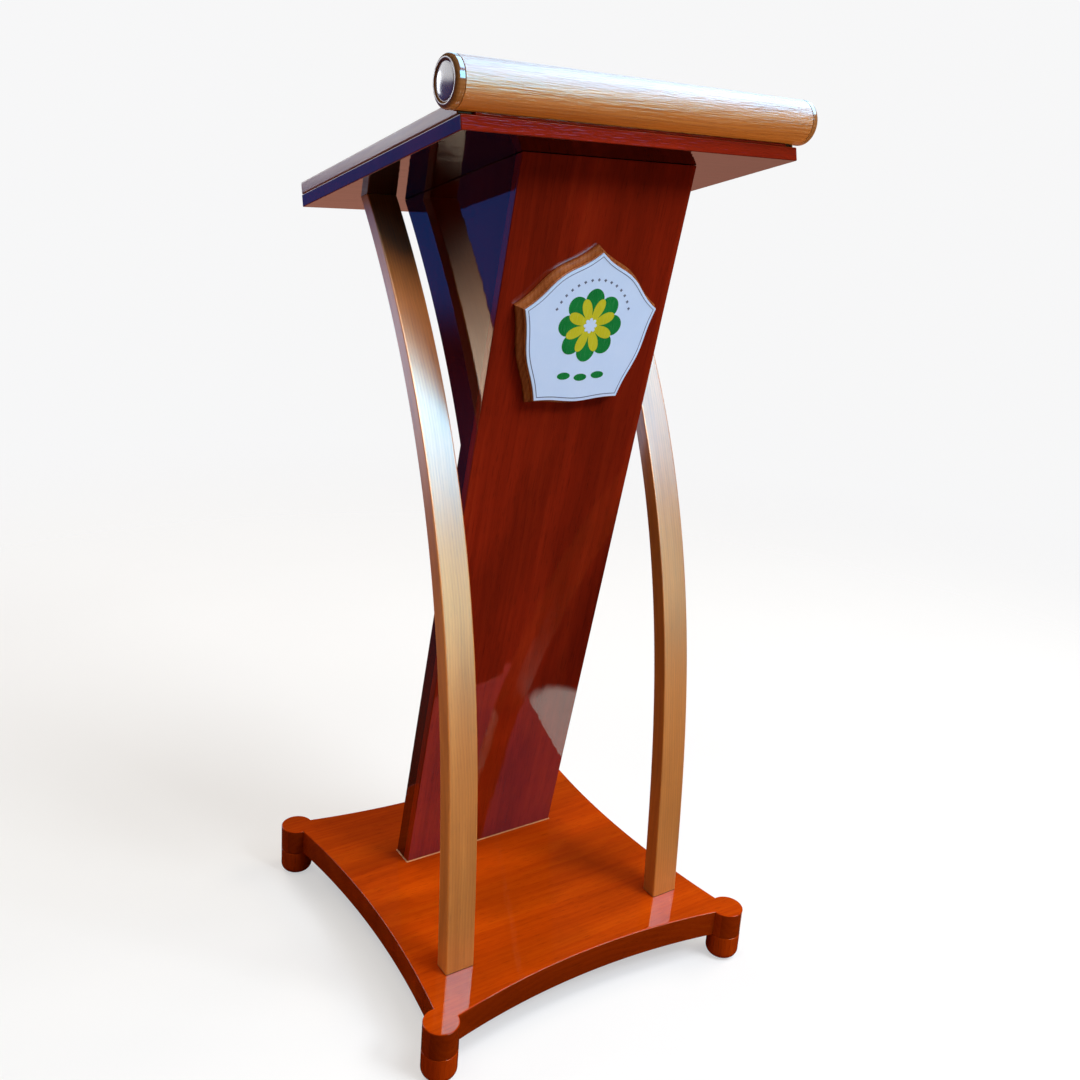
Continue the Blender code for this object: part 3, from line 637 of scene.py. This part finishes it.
def meets_desk(behind):
    """Where a line parallel to the column's front meets the desk's underside."""
    lean, slope = math.tan(COLUMN_LEAN), math.tan(DESK_SLOPE)
    y_at_floor = column_front(0, behind)
    z = (DESK_FRONT[1] - GAP - slope * (y_at_floor - DESK_FRONT[0])) / (1 - slope * lean)
    return column_front(z, behind), z


def flare(inset, steps=40):
    """The column's rear line above its bend, where it follows the legs back to the desk."""
    behind = LEG_DEPTH + CHEEK_BEHIND_LEG - inset
    start = where_first(lambda y, z: y > column_front(z, COLUMN_DEPTH - inset), behind)
    end = where_first(at_desk, behind)
    return [leg_curve(start + (end - start) * k / steps, behind) for k in range(steps + 1)]


def upright(p):
    """Grain of the column's boards: across in X, through in Y, along the lean."""
    return (p.x, p.y - column_front(p.z), p.z / math.cos(COLUMN_LEAN))


def sideways(p):
    """Grain coordinates of an upright board that faces along X."""
    return (p.y, p.x, p.z)


def make_column():
    low = BASE_TOP + GAP
    back = level(PANEL_THICK)
    joint = 0.00004

    def in_joint(p):
        return abs(p.y - column_front(p.z, back)) < 3 * joint

    outline = [(column_front(low), low), (column_front(low, back), low), meets_desk(back), meets_desk(0)]
    panel = ease(prism(outline, -COLUMN_HALF, COLUMN_HALF), 0.0012, skip=in_joint)
    settle("column_panel_lacquered", panel, COLUMN_WOOD, ["column_front_panel"], upright)
    front = back + joint
    outline = [(column_front(low, front), low), (column_front(low, COLUMN_DEPTH), low)]
    outline += [*flare(0), meets_desk(front)]
    for tag, side in SIDES:
        x0, x1 = sorted((side * (COLUMN_HALF - CHEEK_THICK), side * COLUMN_HALF))
        settle(f"cheek_{tag}_lacquered", ease(prism(outline, x0, x1), 0.0009, skip=in_joint), COLUMN_WOOD,
               [f"column_cheek_{tag}"], sideways, stain=lambda normal, centre: 0.35)
    half = COLUMN_HALF - CHEEK_THICK - GAP
    outer, inner = flare(BACK_INSET), flare(BACK_INSET + level(BACK_THICK))
    rear = COLUMN_DEPTH - BACK_INSET
    depth = rear - level(BACK_THICK)
    lower = [(column_front(low, depth), low), (column_front(low, rear), low)]
    lower += [(outer[0][0], outer[0][1] - GAP), (inner[0][0], inner[0][1] - GAP)]
    settle("column_back_lower_lacquered", ease(prism(lower, -half, half), 0.0006), COLUMN_WOOD,
           ["column_back_lower"], upright)
    settle("column_back_upper_lacquered", ease(prism(outer + inner[::-1], -half, half), 0.0006), COLUMN_WOOD,
           ["column_back_upper"], upright)


def make_fillet():
    """A fine lacquered fillet that closes the joint where the column stands on the base."""
    size = 0.0014
    front = column_front(BASE_TOP) - 0.0001
    rear = column_front(BASE_TOP, COLUMN_DEPTH)
    edge = COLUMN_HALF + 0.0001
    path = [(-edge, rear), (-edge, front), (edge, front), (edge, rear)]
    out = [(-1, 0), (-1, -1), (1, -1), (1, 0)]
    profile = [(0, 0), (1.0, 0), (0.80, 0.45), (0.45, 0.80), (0, 1.0)]  # shares of size, out and up
    rings = [[(x + ox * size * a, y + oy * size * a, BASE_TOP + 0.00005 + size * b) for a, b in profile]
             for (x, y), (ox, oy) in zip(path, out)]
    settle("column_foot_fillet", loft(rings), FILLET, [], as_is)


# ---------------------------------------------------------------- desk

DESK_PLACE = Matrix.Translation((0, *DESK_FRONT)) @ Matrix.Rotation(-DESK_SLOPE, 4, "X")


def hollow(bm):
    """Takes the roll's shape out of a desk piece, in the desk's frame."""
    target = bpy.data.objects.new("uncut", bpy.data.meshes.new("uncut"))
    bmesh.ops.recalc_face_normals(bm, faces=bm.faces)
    bm.to_mesh(target.data)
    bm.free()
    reach, radius = ROLL_HALF + 0.05, ROLL_RADIUS + GAP
    roll = turned([(0, -reach), (radius, -reach), (radius, reach), (0, reach)], 160)
    bmesh.ops.recalc_face_normals(roll, faces=roll.faces)
    cutter = bpy.data.objects.new("roll_shape", bpy.data.meshes.new("roll_shape"))
    roll.to_mesh(cutter.data)
    roll.free()
    place = Matrix.Translation((0, ROLL_Y, ROLL_Z)) @ Matrix.Rotation(math.pi / 2, 4, "Y")
    cutter.data.transform(DESK_PLACE.inverted() @ place)
    for obj in (target, cutter):
        bpy.context.scene.collection.objects.link(obj)
    bore = target.modifiers.new("roll_hollow", "BOOLEAN")
    bore.solver = "EXACT"
    bore.object = cutter
    bpy.context.view_layer.update()
    graph = bpy.context.evaluated_depsgraph_get()
    result = bmesh.new()
    result.from_mesh(target.evaluated_get(graph).to_mesh())
    for obj in (target, cutter):
        bpy.data.objects.remove(obj, do_unlink=True)
    return result


def desk_stain(normal, centre):
    """The underside and ends are darker, and the upper face is too pale for the ridges of the front edge."""
    if abs(normal.x) > 0.9:
        return 0.3
    return 0.08 if normal.z < -0.9 else 0.86 if normal.z > 0.9 else 1.0


def rim_stain(normal, centre):
    return 0.25 if normal.y < -0.8 else 0.5


def make_desk():
    low, high = (-DESK_HALF, 0, 0), (DESK_HALF, DESK_LENGTH, DESK_THICK)
    settle("desk_board_lacquered", ease(box(low, high), 0.0013, 4), DESK_WOOD,
           ["desk_board"], across_grain, DESK_PLACE, desk_stain)
    floor, top = DESK_THICK + GAP, DESK_THICK + RIM_TALL
    for tag, side in SIDES:
        x0, x1 = sorted((side * (DESK_HALF - RIM_WIDE), side * DESK_HALF))
        rim = ease(box((x0, RIM_FRONT, floor), (x1, DESK_LENGTH, top)), 0.0018, 4)
        settle(f"rim_{tag}_lacquered", hollow(rim), HONEY_WOOD, [f"desk_rim_{tag}"],
               lengthwise, DESK_PLACE, rim_stain)
    half = DESK_HALF - RIM_WIDE - GAP
    rear = ease(box((-half, DESK_LENGTH - RIM_WIDE, floor), (half, DESK_LENGTH, top)), 0.0018, 4)
    settle("rim_rear_lacquered", rear, HONEY_WOOD, ["desk_rim_rear"], across_grain, DESK_PLACE)
    bed = ease(box((-half, BED_FRONT, floor), (half, BED_BACK, floor + BED_TALL)), 0.0008, 2)
    settle("roll_bed_lacquered", hollow(bed), DESK_WOOD, ["roll_bed"], across_grain,
           DESK_PLACE)


# ---------------------------------------------------------------- roll


def cap_stain(normal, centre):
    """The dome inside the groove is darker than the ring round it."""
    return 0.7 if centre.z > ROLL_HALF - 0.0016 and math.hypot(centre.x, centre.y) < CAP_GROOVE else 1.0


def make_roll():
    """The roll, hand-planed along its length and so never quite true, and its two domed caps."""
    body = ROLL_HALF - ROLL_CAP - GAP
    steps, stations, fine, planed = 144, 60, 0.0007, 0.00010
    turns = (0.0, 0.6, 1.1)
    rings = []
    xs = [-body + fine * (1 - math.cos(a)) for a in turns]
    radii = [ROLL_RADIUS - fine * (1 - math.sin(a)) for a in turns]
    inner = [-body + fine + (2 * (body - fine)) * k / stations for k in range(stations + 1)]
    stops = list(zip(xs, radii)) + [(x, ROLL_RADIUS) for x in inner]
    stops += [(-x, r) for x, r in zip(xs[::-1], radii[::-1])]
    for x, radius in stops:
        ring = []
        for k in range(steps):
            a = 2 * math.pi * k / steps
            flat = 0.5 + 0.25 * math.sin(7 * a + 4 * x) + 0.25 * math.sin(16 * a - 21 * x + 1)
            r = radius - planed * flat
            ring.append((x, r * math.cos(a), r * math.sin(a)))
        rings.append(ring)
    place = Matrix.Translation((0, ROLL_Y, ROLL_Z))
    settle("roll_lacquered", loft(rings), ROLL_WOOD, ["roll_body"], across_grain, place)
    start = body + GAP
    profile = [(0, start), (ROLL_RADIUS - fine, start)]
    profile += arc((ROLL_RADIUS - fine, start + fine), fine, -math.pi / 2, 0, 4)
    profile += arc((ROLL_RADIUS - CAP_ROUNDING, ROLL_HALF - CAP_ROUNDING), CAP_ROUNDING, 0, math.pi / 2, 12)
    groove = ((0.0215, 0.0001), (0.0207, 0.0007), (0.0199, 0.0013), (CAP_GROOVE, 0.0015), (0.0184, 0.0013),
              (0.0165, 0.0009), (0.0135, 0.0006), (0.0095, 0.0003), (0.0050, 0.0001))
    profile += [(radius, ROLL_HALF - deep) for radius, deep in groove] + [(0, ROLL_HALF)]
    for tag, side in SIDES:
        turn = Matrix.Rotation(side * math.pi / 2, 4, "Y")
        settle(f"roll_cap_{tag}_turned", turned(profile, 144), CAP_WOOD, [f"roll_cap_{tag}"],
               as_is, place @ turn, cap_stain)


# ---------------------------------------------------------------- plaque

PANEL_PLACE = Matrix.Translation((0, COLUMN_FRONT_Y, BASE_TOP)) @ Matrix.Rotation(COLUMN_LEAN, 4, "X")


def plaque_outline(grow, steps=26):
    """The shield's outline (x, z), grown all round. Each side bows out between its corners."""
    scale = 1 + grow / PLAQUE_INRADIUS
    bow, ripple = PLAQUE_SWELL_WAVE
    points = []
    for k, corner in enumerate(PLAQUE_CORNERS):
        run = Vector(PLAQUE_CORNERS[(k + 1) % len(PLAQUE_CORNERS)]) - Vector(corner)
        outward = Vector((-run.y, run.x)).normalized()
        if outward.dot(Vector(corner)) < 0:
            outward.negate()
        for step in range(steps):
            t = step / steps
            swell = PLAQUE_SWELL[k] * (bow * math.sin(math.pi * t) - ripple * math.sin(3 * math.pi * t))
            point = Vector(corner) + run * t + outward * swell
            points.append((point.x * scale, point.y * scale))
    return points


def plaque_loft(levels):
    """Skins the shield's outline through (distance from the panel, growth) levels."""
    return loft([[(x, -out, PLAQUE_CENTRE + z) for x, z in plaque_outline(grow)] for out, grow in levels])


def make_plaque():
    """The moulded shield, its plate, and a generic printed rosette."""
    wide, lip, deep = PLAQUE_FLARE, PLAQUE_LIP, PLAQUE_DEEP
    profile = [(GAP, wide - 0.0008), (GAP + 0.0003, wide - 0.0002), (GAP + 0.0009, wide)]
    profile += [(0.27 * deep, wide), (0.31 * deep, 0.96 * wide)]
    steps = 10
    for k in range(1, steps + 1):
        t = k / steps
        profile.append(((0.31 + 0.50 * t) * deep, wide * 0.94 * (1 - t) ** 1.7 + lip))
    profile += [(0.86 * deep, lip * 1.6), (0.93 * deep, lip * 1.8), (deep - 0.0005, lip * 1.2), (deep, 0.0001)]
    settle("plaque_moulded", plaque_loft(profile), PLAQUE_WOOD, ["plaque_backing"], as_is,
           PANEL_PLACE)
    low, high = deep + GAP, deep + PLAQUE_FACE_THICK
    levels = [(low, -lip), (high - 0.0006, -lip), (high - 0.00018, -lip - 0.00018), (high, -lip - 0.0006)]
    settle("plaque_plate", plaque_loft(levels), PLATE, ["plaque_face"], as_is, PANEL_PLACE)
    make_print(high)


def ribbon_between(outer, inner, low, high):
    """A flat band between two closed outlines."""
    bm = bmesh.new()
    rows = []
    for points in (outer, inner):
        for out in (low, high):
            rows.append([bm.verts.new((x, -out, PLAQUE_CENTRE + z)) for x, z in points])
    outer_low, outer_high, inner_low, inner_high = rows
    count = len(outer)
    for a, b in ((outer_low, outer_high), (outer_high, inner_high), (inner_high, inner_low),
                 (inner_low, outer_low)):
        for i in range(count):
            j = (i + 1) % count
            bm.faces.new((a[i], a[j], b[j], b[i]))
    return bm


def patch(bm, points, low, high):
    """Adds a flat solid of this outline."""
    under = [bm.verts.new((x, -low, PLAQUE_CENTRE + z)) for x, z in points]
    over = [bm.verts.new((x, -high, PLAQUE_CENTRE + z)) for x, z in points]
    bm.faces.new(under)
    bm.faces.new(over)
    for i in range(len(points)):
        j = (i + 1) % len(points)
        bm.faces.new((under[i], under[j], over[j], over[i]))


def petals(count, inner, outer, turn=0.0, steps=14, centre=(0, 0)):
    """A closed outline of rounded petals round a centre."""
    points = []
    for k in range(count * steps):
        a = 2 * math.pi * k / (count * steps) + turn
        lift = abs(math.sin((a - turn) * count / 2)) ** 0.75
        r = inner + (outer - inner) * lift
        points.append((centre[0] + r * math.cos(a), centre[1] + r * math.sin(a)))
    return points


def rosette(inner, outer, turn=0.0):
    return petals(ROSETTE_PETALS, inner, outer, turn, centre=ROSETTE_CENTRE)


def make_print(face):
    """A thin border line, an arc of dots, a rosette and three leaves, each a film of ink on the plate."""
    low = face + INK_GAP
    border = [plaque_outline(-inset) for inset in (BORDER_INSET, BORDER_INSET + BORDER_WIDE)]
    lines = ribbon_between(*border, low, low + INK)
    dots = bmesh.new()
    for k in range(DOT_COUNT):
        a = math.pi * (DOT_ARC_START + (1 - 2 * DOT_ARC_START) * k / (DOT_COUNT - 1))
        centre = (DOT_ARC_RADIUS * math.cos(a), ROSETTE_CENTRE[1] + DOT_ARC_RADIUS * math.sin(a))
        patch(dots, petals(4, DOT_INNER, DOT_OUTER, math.pi / 4, 6, centre), low, low + INK)
    green = bmesh.new()
    half_petal = math.pi / ROSETTE_PETALS
    patch(green, rosette(0.036, 0.0475, half_petal), low, low + INK)
    leaf = [(x * LEAF_WIDER, z * LEAF_LOWER) for x, z in arc((0, 0), LEAF_RADIUS, 0, 2 * math.pi * 31 / 32, 31)]
    for k in (-1, 0, 1):
        middle = (LEAF_SPACING * k, -LEAF_DROP - LEAF_SAG * (k == 0))
        patch(green, [(middle[0] + x, middle[1] + z) for x, z in leaf], low, low + INK)
    yellow = bmesh.new()
    patch(yellow, rosette(0.013, 0.0365), low + INK + INK_GAP, low + 2 * INK)
    core = bmesh.new()
    patch(core, rosette(0.0065, 0.0100, half_petal), low + 2 * INK + INK_GAP, low + 3 * INK)
    for name, bm, material in (("print_border", lines, PRINT_GREY), ("print_dots", dots, PRINT_GREY),
                               ("print_rosette_green", green, PRINT_GREEN),
                               ("print_rosette_yellow", yellow, PRINT_YELLOW),
                               ("print_rosette_core", core, PLATE)):
        settle(name, bm, material, [], as_is, PANEL_PLACE)


# ---------------------------------------------------------------- hidden pieces


def finish_hidden_nodes():
    """The CAD dowels, screws and blocks stay as packed and take bare wood or zinc."""
    for name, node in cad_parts.items():
        if "_screw" in name:
            material = ZINC
        elif "_dowel" in name:
            material = BEECH
        elif "cleat" in name or name == "column_foot_block":
            material = PINE
        else:
            continue
        node.data.materials.clear()
        node.data.materials.append(material)


# ---------------------------------------------------------------- studio


def make_floor():
    """A wide pale disc that fades into the background. Bounced and mirrored light see it dim and warm."""
    bm = bmesh.new()
    bmesh.ops.create_circle(bm, cap_ends=True, segments=96, radius=9.0)
    mesh = bpy.data.meshes.new("studio_floor")
    bm.to_mesh(mesh)
    bm.free()
    mesh.transform(Matrix.Translation((0, 0, -0.0004)))
    floor = bpy.data.objects.new("studio_floor", mesh)
    bpy.context.scene.collection.objects.link(floor)
    material = bpy.data.materials.new("floor_paint")
    g = Graph(material)
    at = g.node("ShaderNodeTexCoord").outputs["Object"]
    path = g.node("ShaderNodeLightPath").outputs
    mottle = g.noise(at, (3, 3, 3), 3, 0.5)
    pale = g.ramp(mottle, ((0.3, FLOOR_PALE), (0.7, tuple(c * 1.02 for c in FLOOR_PALE))))
    place = g.node("ShaderNodeSeparateXYZ", {0: at}).outputs
    rear = g.maths("MULTIPLY", g.spread(place["Y"], 0.1, 1.4, 0, 1, True),
                   g.spread(place["X"], -0.8, 0.2, 0, 1, True))
    mirrored = g.mix(g.spread(place["Y"], 0.3, 1.5, 0, 1, True), FLOOR_MIRRORED_FRONT, FLOOR_MIRRORED_LEFT)
    mirrored = g.mix(rear, mirrored, FLOOR_MIRRORED_REAR)
    pool = g.vector("MULTIPLY", g.vector("SUBTRACT", at, POOL_CENTRE), (*(1 / r for r in POOL_REACH), 0))
    pool = g.spread(g.vector("LENGTH", pool), 1.05, 0.85, 0, 1, True)
    mirrored = g.mix(pool, mirrored, FLOOR_POOL)
    colour = g.mix(path["Is Glossy Ray"], FLOOR_BOUNCE, mirrored)
    colour = g.mix(path["Is Camera Ray"], colour, pale)
    shader = g.node("ShaderNodeBsdfPrincipled", {"Base Color": colour, "Roughness": 0.8})
    shader.inputs["Specular IOR Level"].default_value = 0.0
    g.put(shader.inputs["Emission Strength"], g.maths("MULTIPLY", path["Is Camera Ray"], FLOOR_LIFT))
    shader.inputs["Emission Color"].default_value = BACKDROP
    clear = g.node("ShaderNodeBsdfTransparent")
    reach = g.vector("LENGTH", at)
    seen = g.maths("MULTIPLY", g.spread(reach, 0.9, 3.0, 0, 1, True), path["Is Camera Ray"])
    fade = g.maths("MAXIMUM", seen, g.spread(reach, 4.5, 8.0, 0, 1, True))
    both = g.node("ShaderNodeMixShader", {0: fade, 1: shader.outputs[0], 2: clear.outputs[0]})
    out = g.node("ShaderNodeOutputMaterial")
    g.tree.links.new(both.outputs[0], out.inputs["Surface"])
    mesh.materials.append(material)


def make_world():
    """A dim studio sky with a soft bright side at the front right and a blue evening side at the rear left."""
    world = bpy.data.worlds.new("studio")
    bpy.context.scene.world = world
    g = Graph(world)
    way = g.vector("NORMALIZE", g.node("ShaderNodeTexCoord").outputs["Generated"])
    height = g.node("ShaderNodeSeparateXYZ", {0: way}).outputs["Z"]

    def lobe(direction, outer, inner):
        """1 where the sky lies close round a direction. outer and inner are cosines."""
        near = g.vector("DOT_PRODUCT", way, tuple(Vector(direction).normalized()))
        return g.spread(near, outer, inner, 0, 1, True)

    sky = g.mix(lobe((0.42, -0.44, 0.79), 0.93, 0.98), SKY_DIM, SKY_FRONT)
    evening = g.mix(g.spread(height, 0.04, 0.10, 0, 1, True), SKY_BLUE, SKY_PALE)
    evening = g.mix(g.spread(height, -0.17, -0.10, 0, 1, True), SKY_DIM, evening)
    evening = g.mix(g.spread(height, 0.25, 0.35, 0, 1, True), evening, SKY_DIM)
    sky = g.mix(lobe((-0.47, 0.88, 0.0), 0.90, 0.95), sky, evening)
    lens = g.node("ShaderNodeLightPath").outputs["Is Camera Ray"]
    hidden = g.node("ShaderNodeBackground", {"Color": sky, "Strength": 1.0})
    shown = g.node("ShaderNodeBackground", {"Color": BACKDROP, "Strength": 1.0})
    both = g.node("ShaderNodeMixShader", {0: lens, 1: hidden.outputs[0], 2: shown.outputs[0]})
    out = g.node("ShaderNodeOutputWorld")
    g.tree.links.new(both.outputs[0], out.inputs["Surface"])


def make_lamp(name, facing, far, size, radiance, tint, gloss=False, only=None):
    """A softbox that the lens doesn't see, far away from LIT_CENTRE and turned to face it.

    facing is (degrees round from the front, degrees up), size is its sides in metres, and radiance is in watts
    per square metre per steradian. Most are broad fills that leave no mirror image. A gloss lamp is only seen
    mirrored. A lamp can be kept to the pieces whose names start with one of only, as a photographer does with
    flags.
    """
    turn, lift = (math.radians(angle) for angle in facing)
    way = Vector((math.sin(turn) * math.cos(lift), -math.cos(turn) * math.cos(lift), math.sin(lift)))
    lamp = bpy.data.lights.new(name, "AREA")
    lamp.shape = "RECTANGLE"
    lamp.size, lamp.size_y = size
    lamp.energy = radiance * math.pi * size[0] * size[1]
    lamp.color = tint
    obj = bpy.data.objects.new(name, lamp)
    bpy.context.scene.collection.objects.link(obj)
    obj.location = LIT_CENTRE + way * far
    obj.rotation_euler = (-way).to_track_quat("-Z", "Y").to_euler()
    obj.visible_camera = False
    obj.visible_glossy = gloss
    obj.visible_diffuse = not gloss
    if only:
        reached = bpy.data.collections.new(f"reached_by_{name}")
        for piece in SHOWN_PIECES:
            if piece.name.startswith(only):
                reached.objects.link(piece)
        obj.light_linking.receiver_collection = reached


def light_studio():
    make_lamp("key", (30, 38), 4.0, (1.4, 0.9), 34.0, COOL)
    make_lamp("high_front", (30, 62), 4.0, (2.6, 1.6), 10.0, COOL)
    make_lamp("front_low", (25, -4), 4.0, (1.6, 1.0), 1.6, NEUTRAL)
    make_lamp("right", (82, 38), 4.0, (2.0, 1.4), 7.5, NEUTRAL)
    make_lamp("top_left", (-80, 62), 4.0, (2.6, 1.6), 3.5, NEUTRAL)
    make_lamp("back", (-172, 30), 4.0, (2.6, 1.6), 4.5, NEUTRAL)
    make_lamp("plate_front", (20, 30), 4.0, (1.6, 1.0), 1.5, COOL, only=("plaque_plate",))
    make_lamp("leg_key", (-12, 38), 4.0, (1.4, 0.9), 29.0, AMBER, only=(LEGS,))
    make_lamp("plaque_edge", (-20, 45), 4.0, (1.4, 0.9), 17.0, CREAM, only=("plaque_moulded",))
    make_lamp("pale_left", (-100, -31), 1.17, (0.8, 0.4), 4.3, WARM, only=("leg_left", "rim_"))
    make_lamp("roll_front", (15, -25), 1.3, (0.8, 0.25), 28.0, AMBER, only=ROLL)
    make_lamp("sheen_low", (20, 3), 7.0, (4.6, 2.6), 3.2, HAZE, True, (LEGS, "roll_lacquered"))
    make_lamp("sheen_front", (24, 31), 7.0, (5.4, 3.2), 10.0, GLAZE, True, (LEGS,))
    make_lamp("sheen_roll", (18, 31), 7.0, (4.6, 3.2), 11.0, SHEEN, True, ("plaque_moulded", *ROLL))
    make_lamp("sheen_high", (38, 47), 7.0, (4.4, 1.4), 16.0, GLEAM, True, (LEGS,))
    make_lamp("sheen_cross", (-34, 33), 7.0, (3.4, 2.8), 24.0, CREAM, True, (LEGS,))
    make_lamp("sheen_top", (88, 54), 6.0, (6.0, 4.0), 9.0, DEEP, True, ROLL)
    make_lamp("sheen_rear", (135, 32), 6.0, (5.0, 3.4), 2.8, DEEP, True, ROLL)
    make_lamp("sheen_leg", (-152, -8), 2.6, (1.2, 0.65), 2.4, SLATE, True, (LEGS,))
    make_lamp("sheen_cap", (-157, 12), 2.6, (0.5, 0.4), 6.0, NEUTRAL, True, ("roll_cap", "rim_"))
    make_lamp("sheen_edge", (22, 9), 5.0, (3.0, 0.9), 9.0, CREAM, True, ("base_board", "foot_"))


def make_camera():
    camera = bpy.data.cameras.new("camera")
    camera.sensor_width = 36.0
    camera.lens = LENS_LENGTH
    camera.shift_y = LENS_SHIFT
    camera.clip_start = 0.01
    obj = bpy.data.objects.new("camera", camera)
    bpy.context.scene.collection.objects.link(obj)
    turn, tilt, roll = (math.radians(angle) for angle in LENS_TURN)
    aim = Matrix.Rotation(turn, 4, "Z") @ Matrix.Rotation(tilt, 4, "X") @ Matrix.Rotation(roll, 4, "Z")
    obj.matrix_world = Matrix.Translation(LENS_PLACE) @ aim
    bpy.context.scene.camera = obj


make_base()
make_feet()
for leg_tag, leg_side in SIDES:
    make_leg(leg_tag, leg_side)
make_column()
make_fillet()
make_desk()
make_roll()
make_plaque()
finish_hidden_nodes()
make_floor()
make_world()
light_studio()
make_camera()
bpy.context.scene.view_settings.view_transform = "Standard"

bpy.context.view_layer.update()
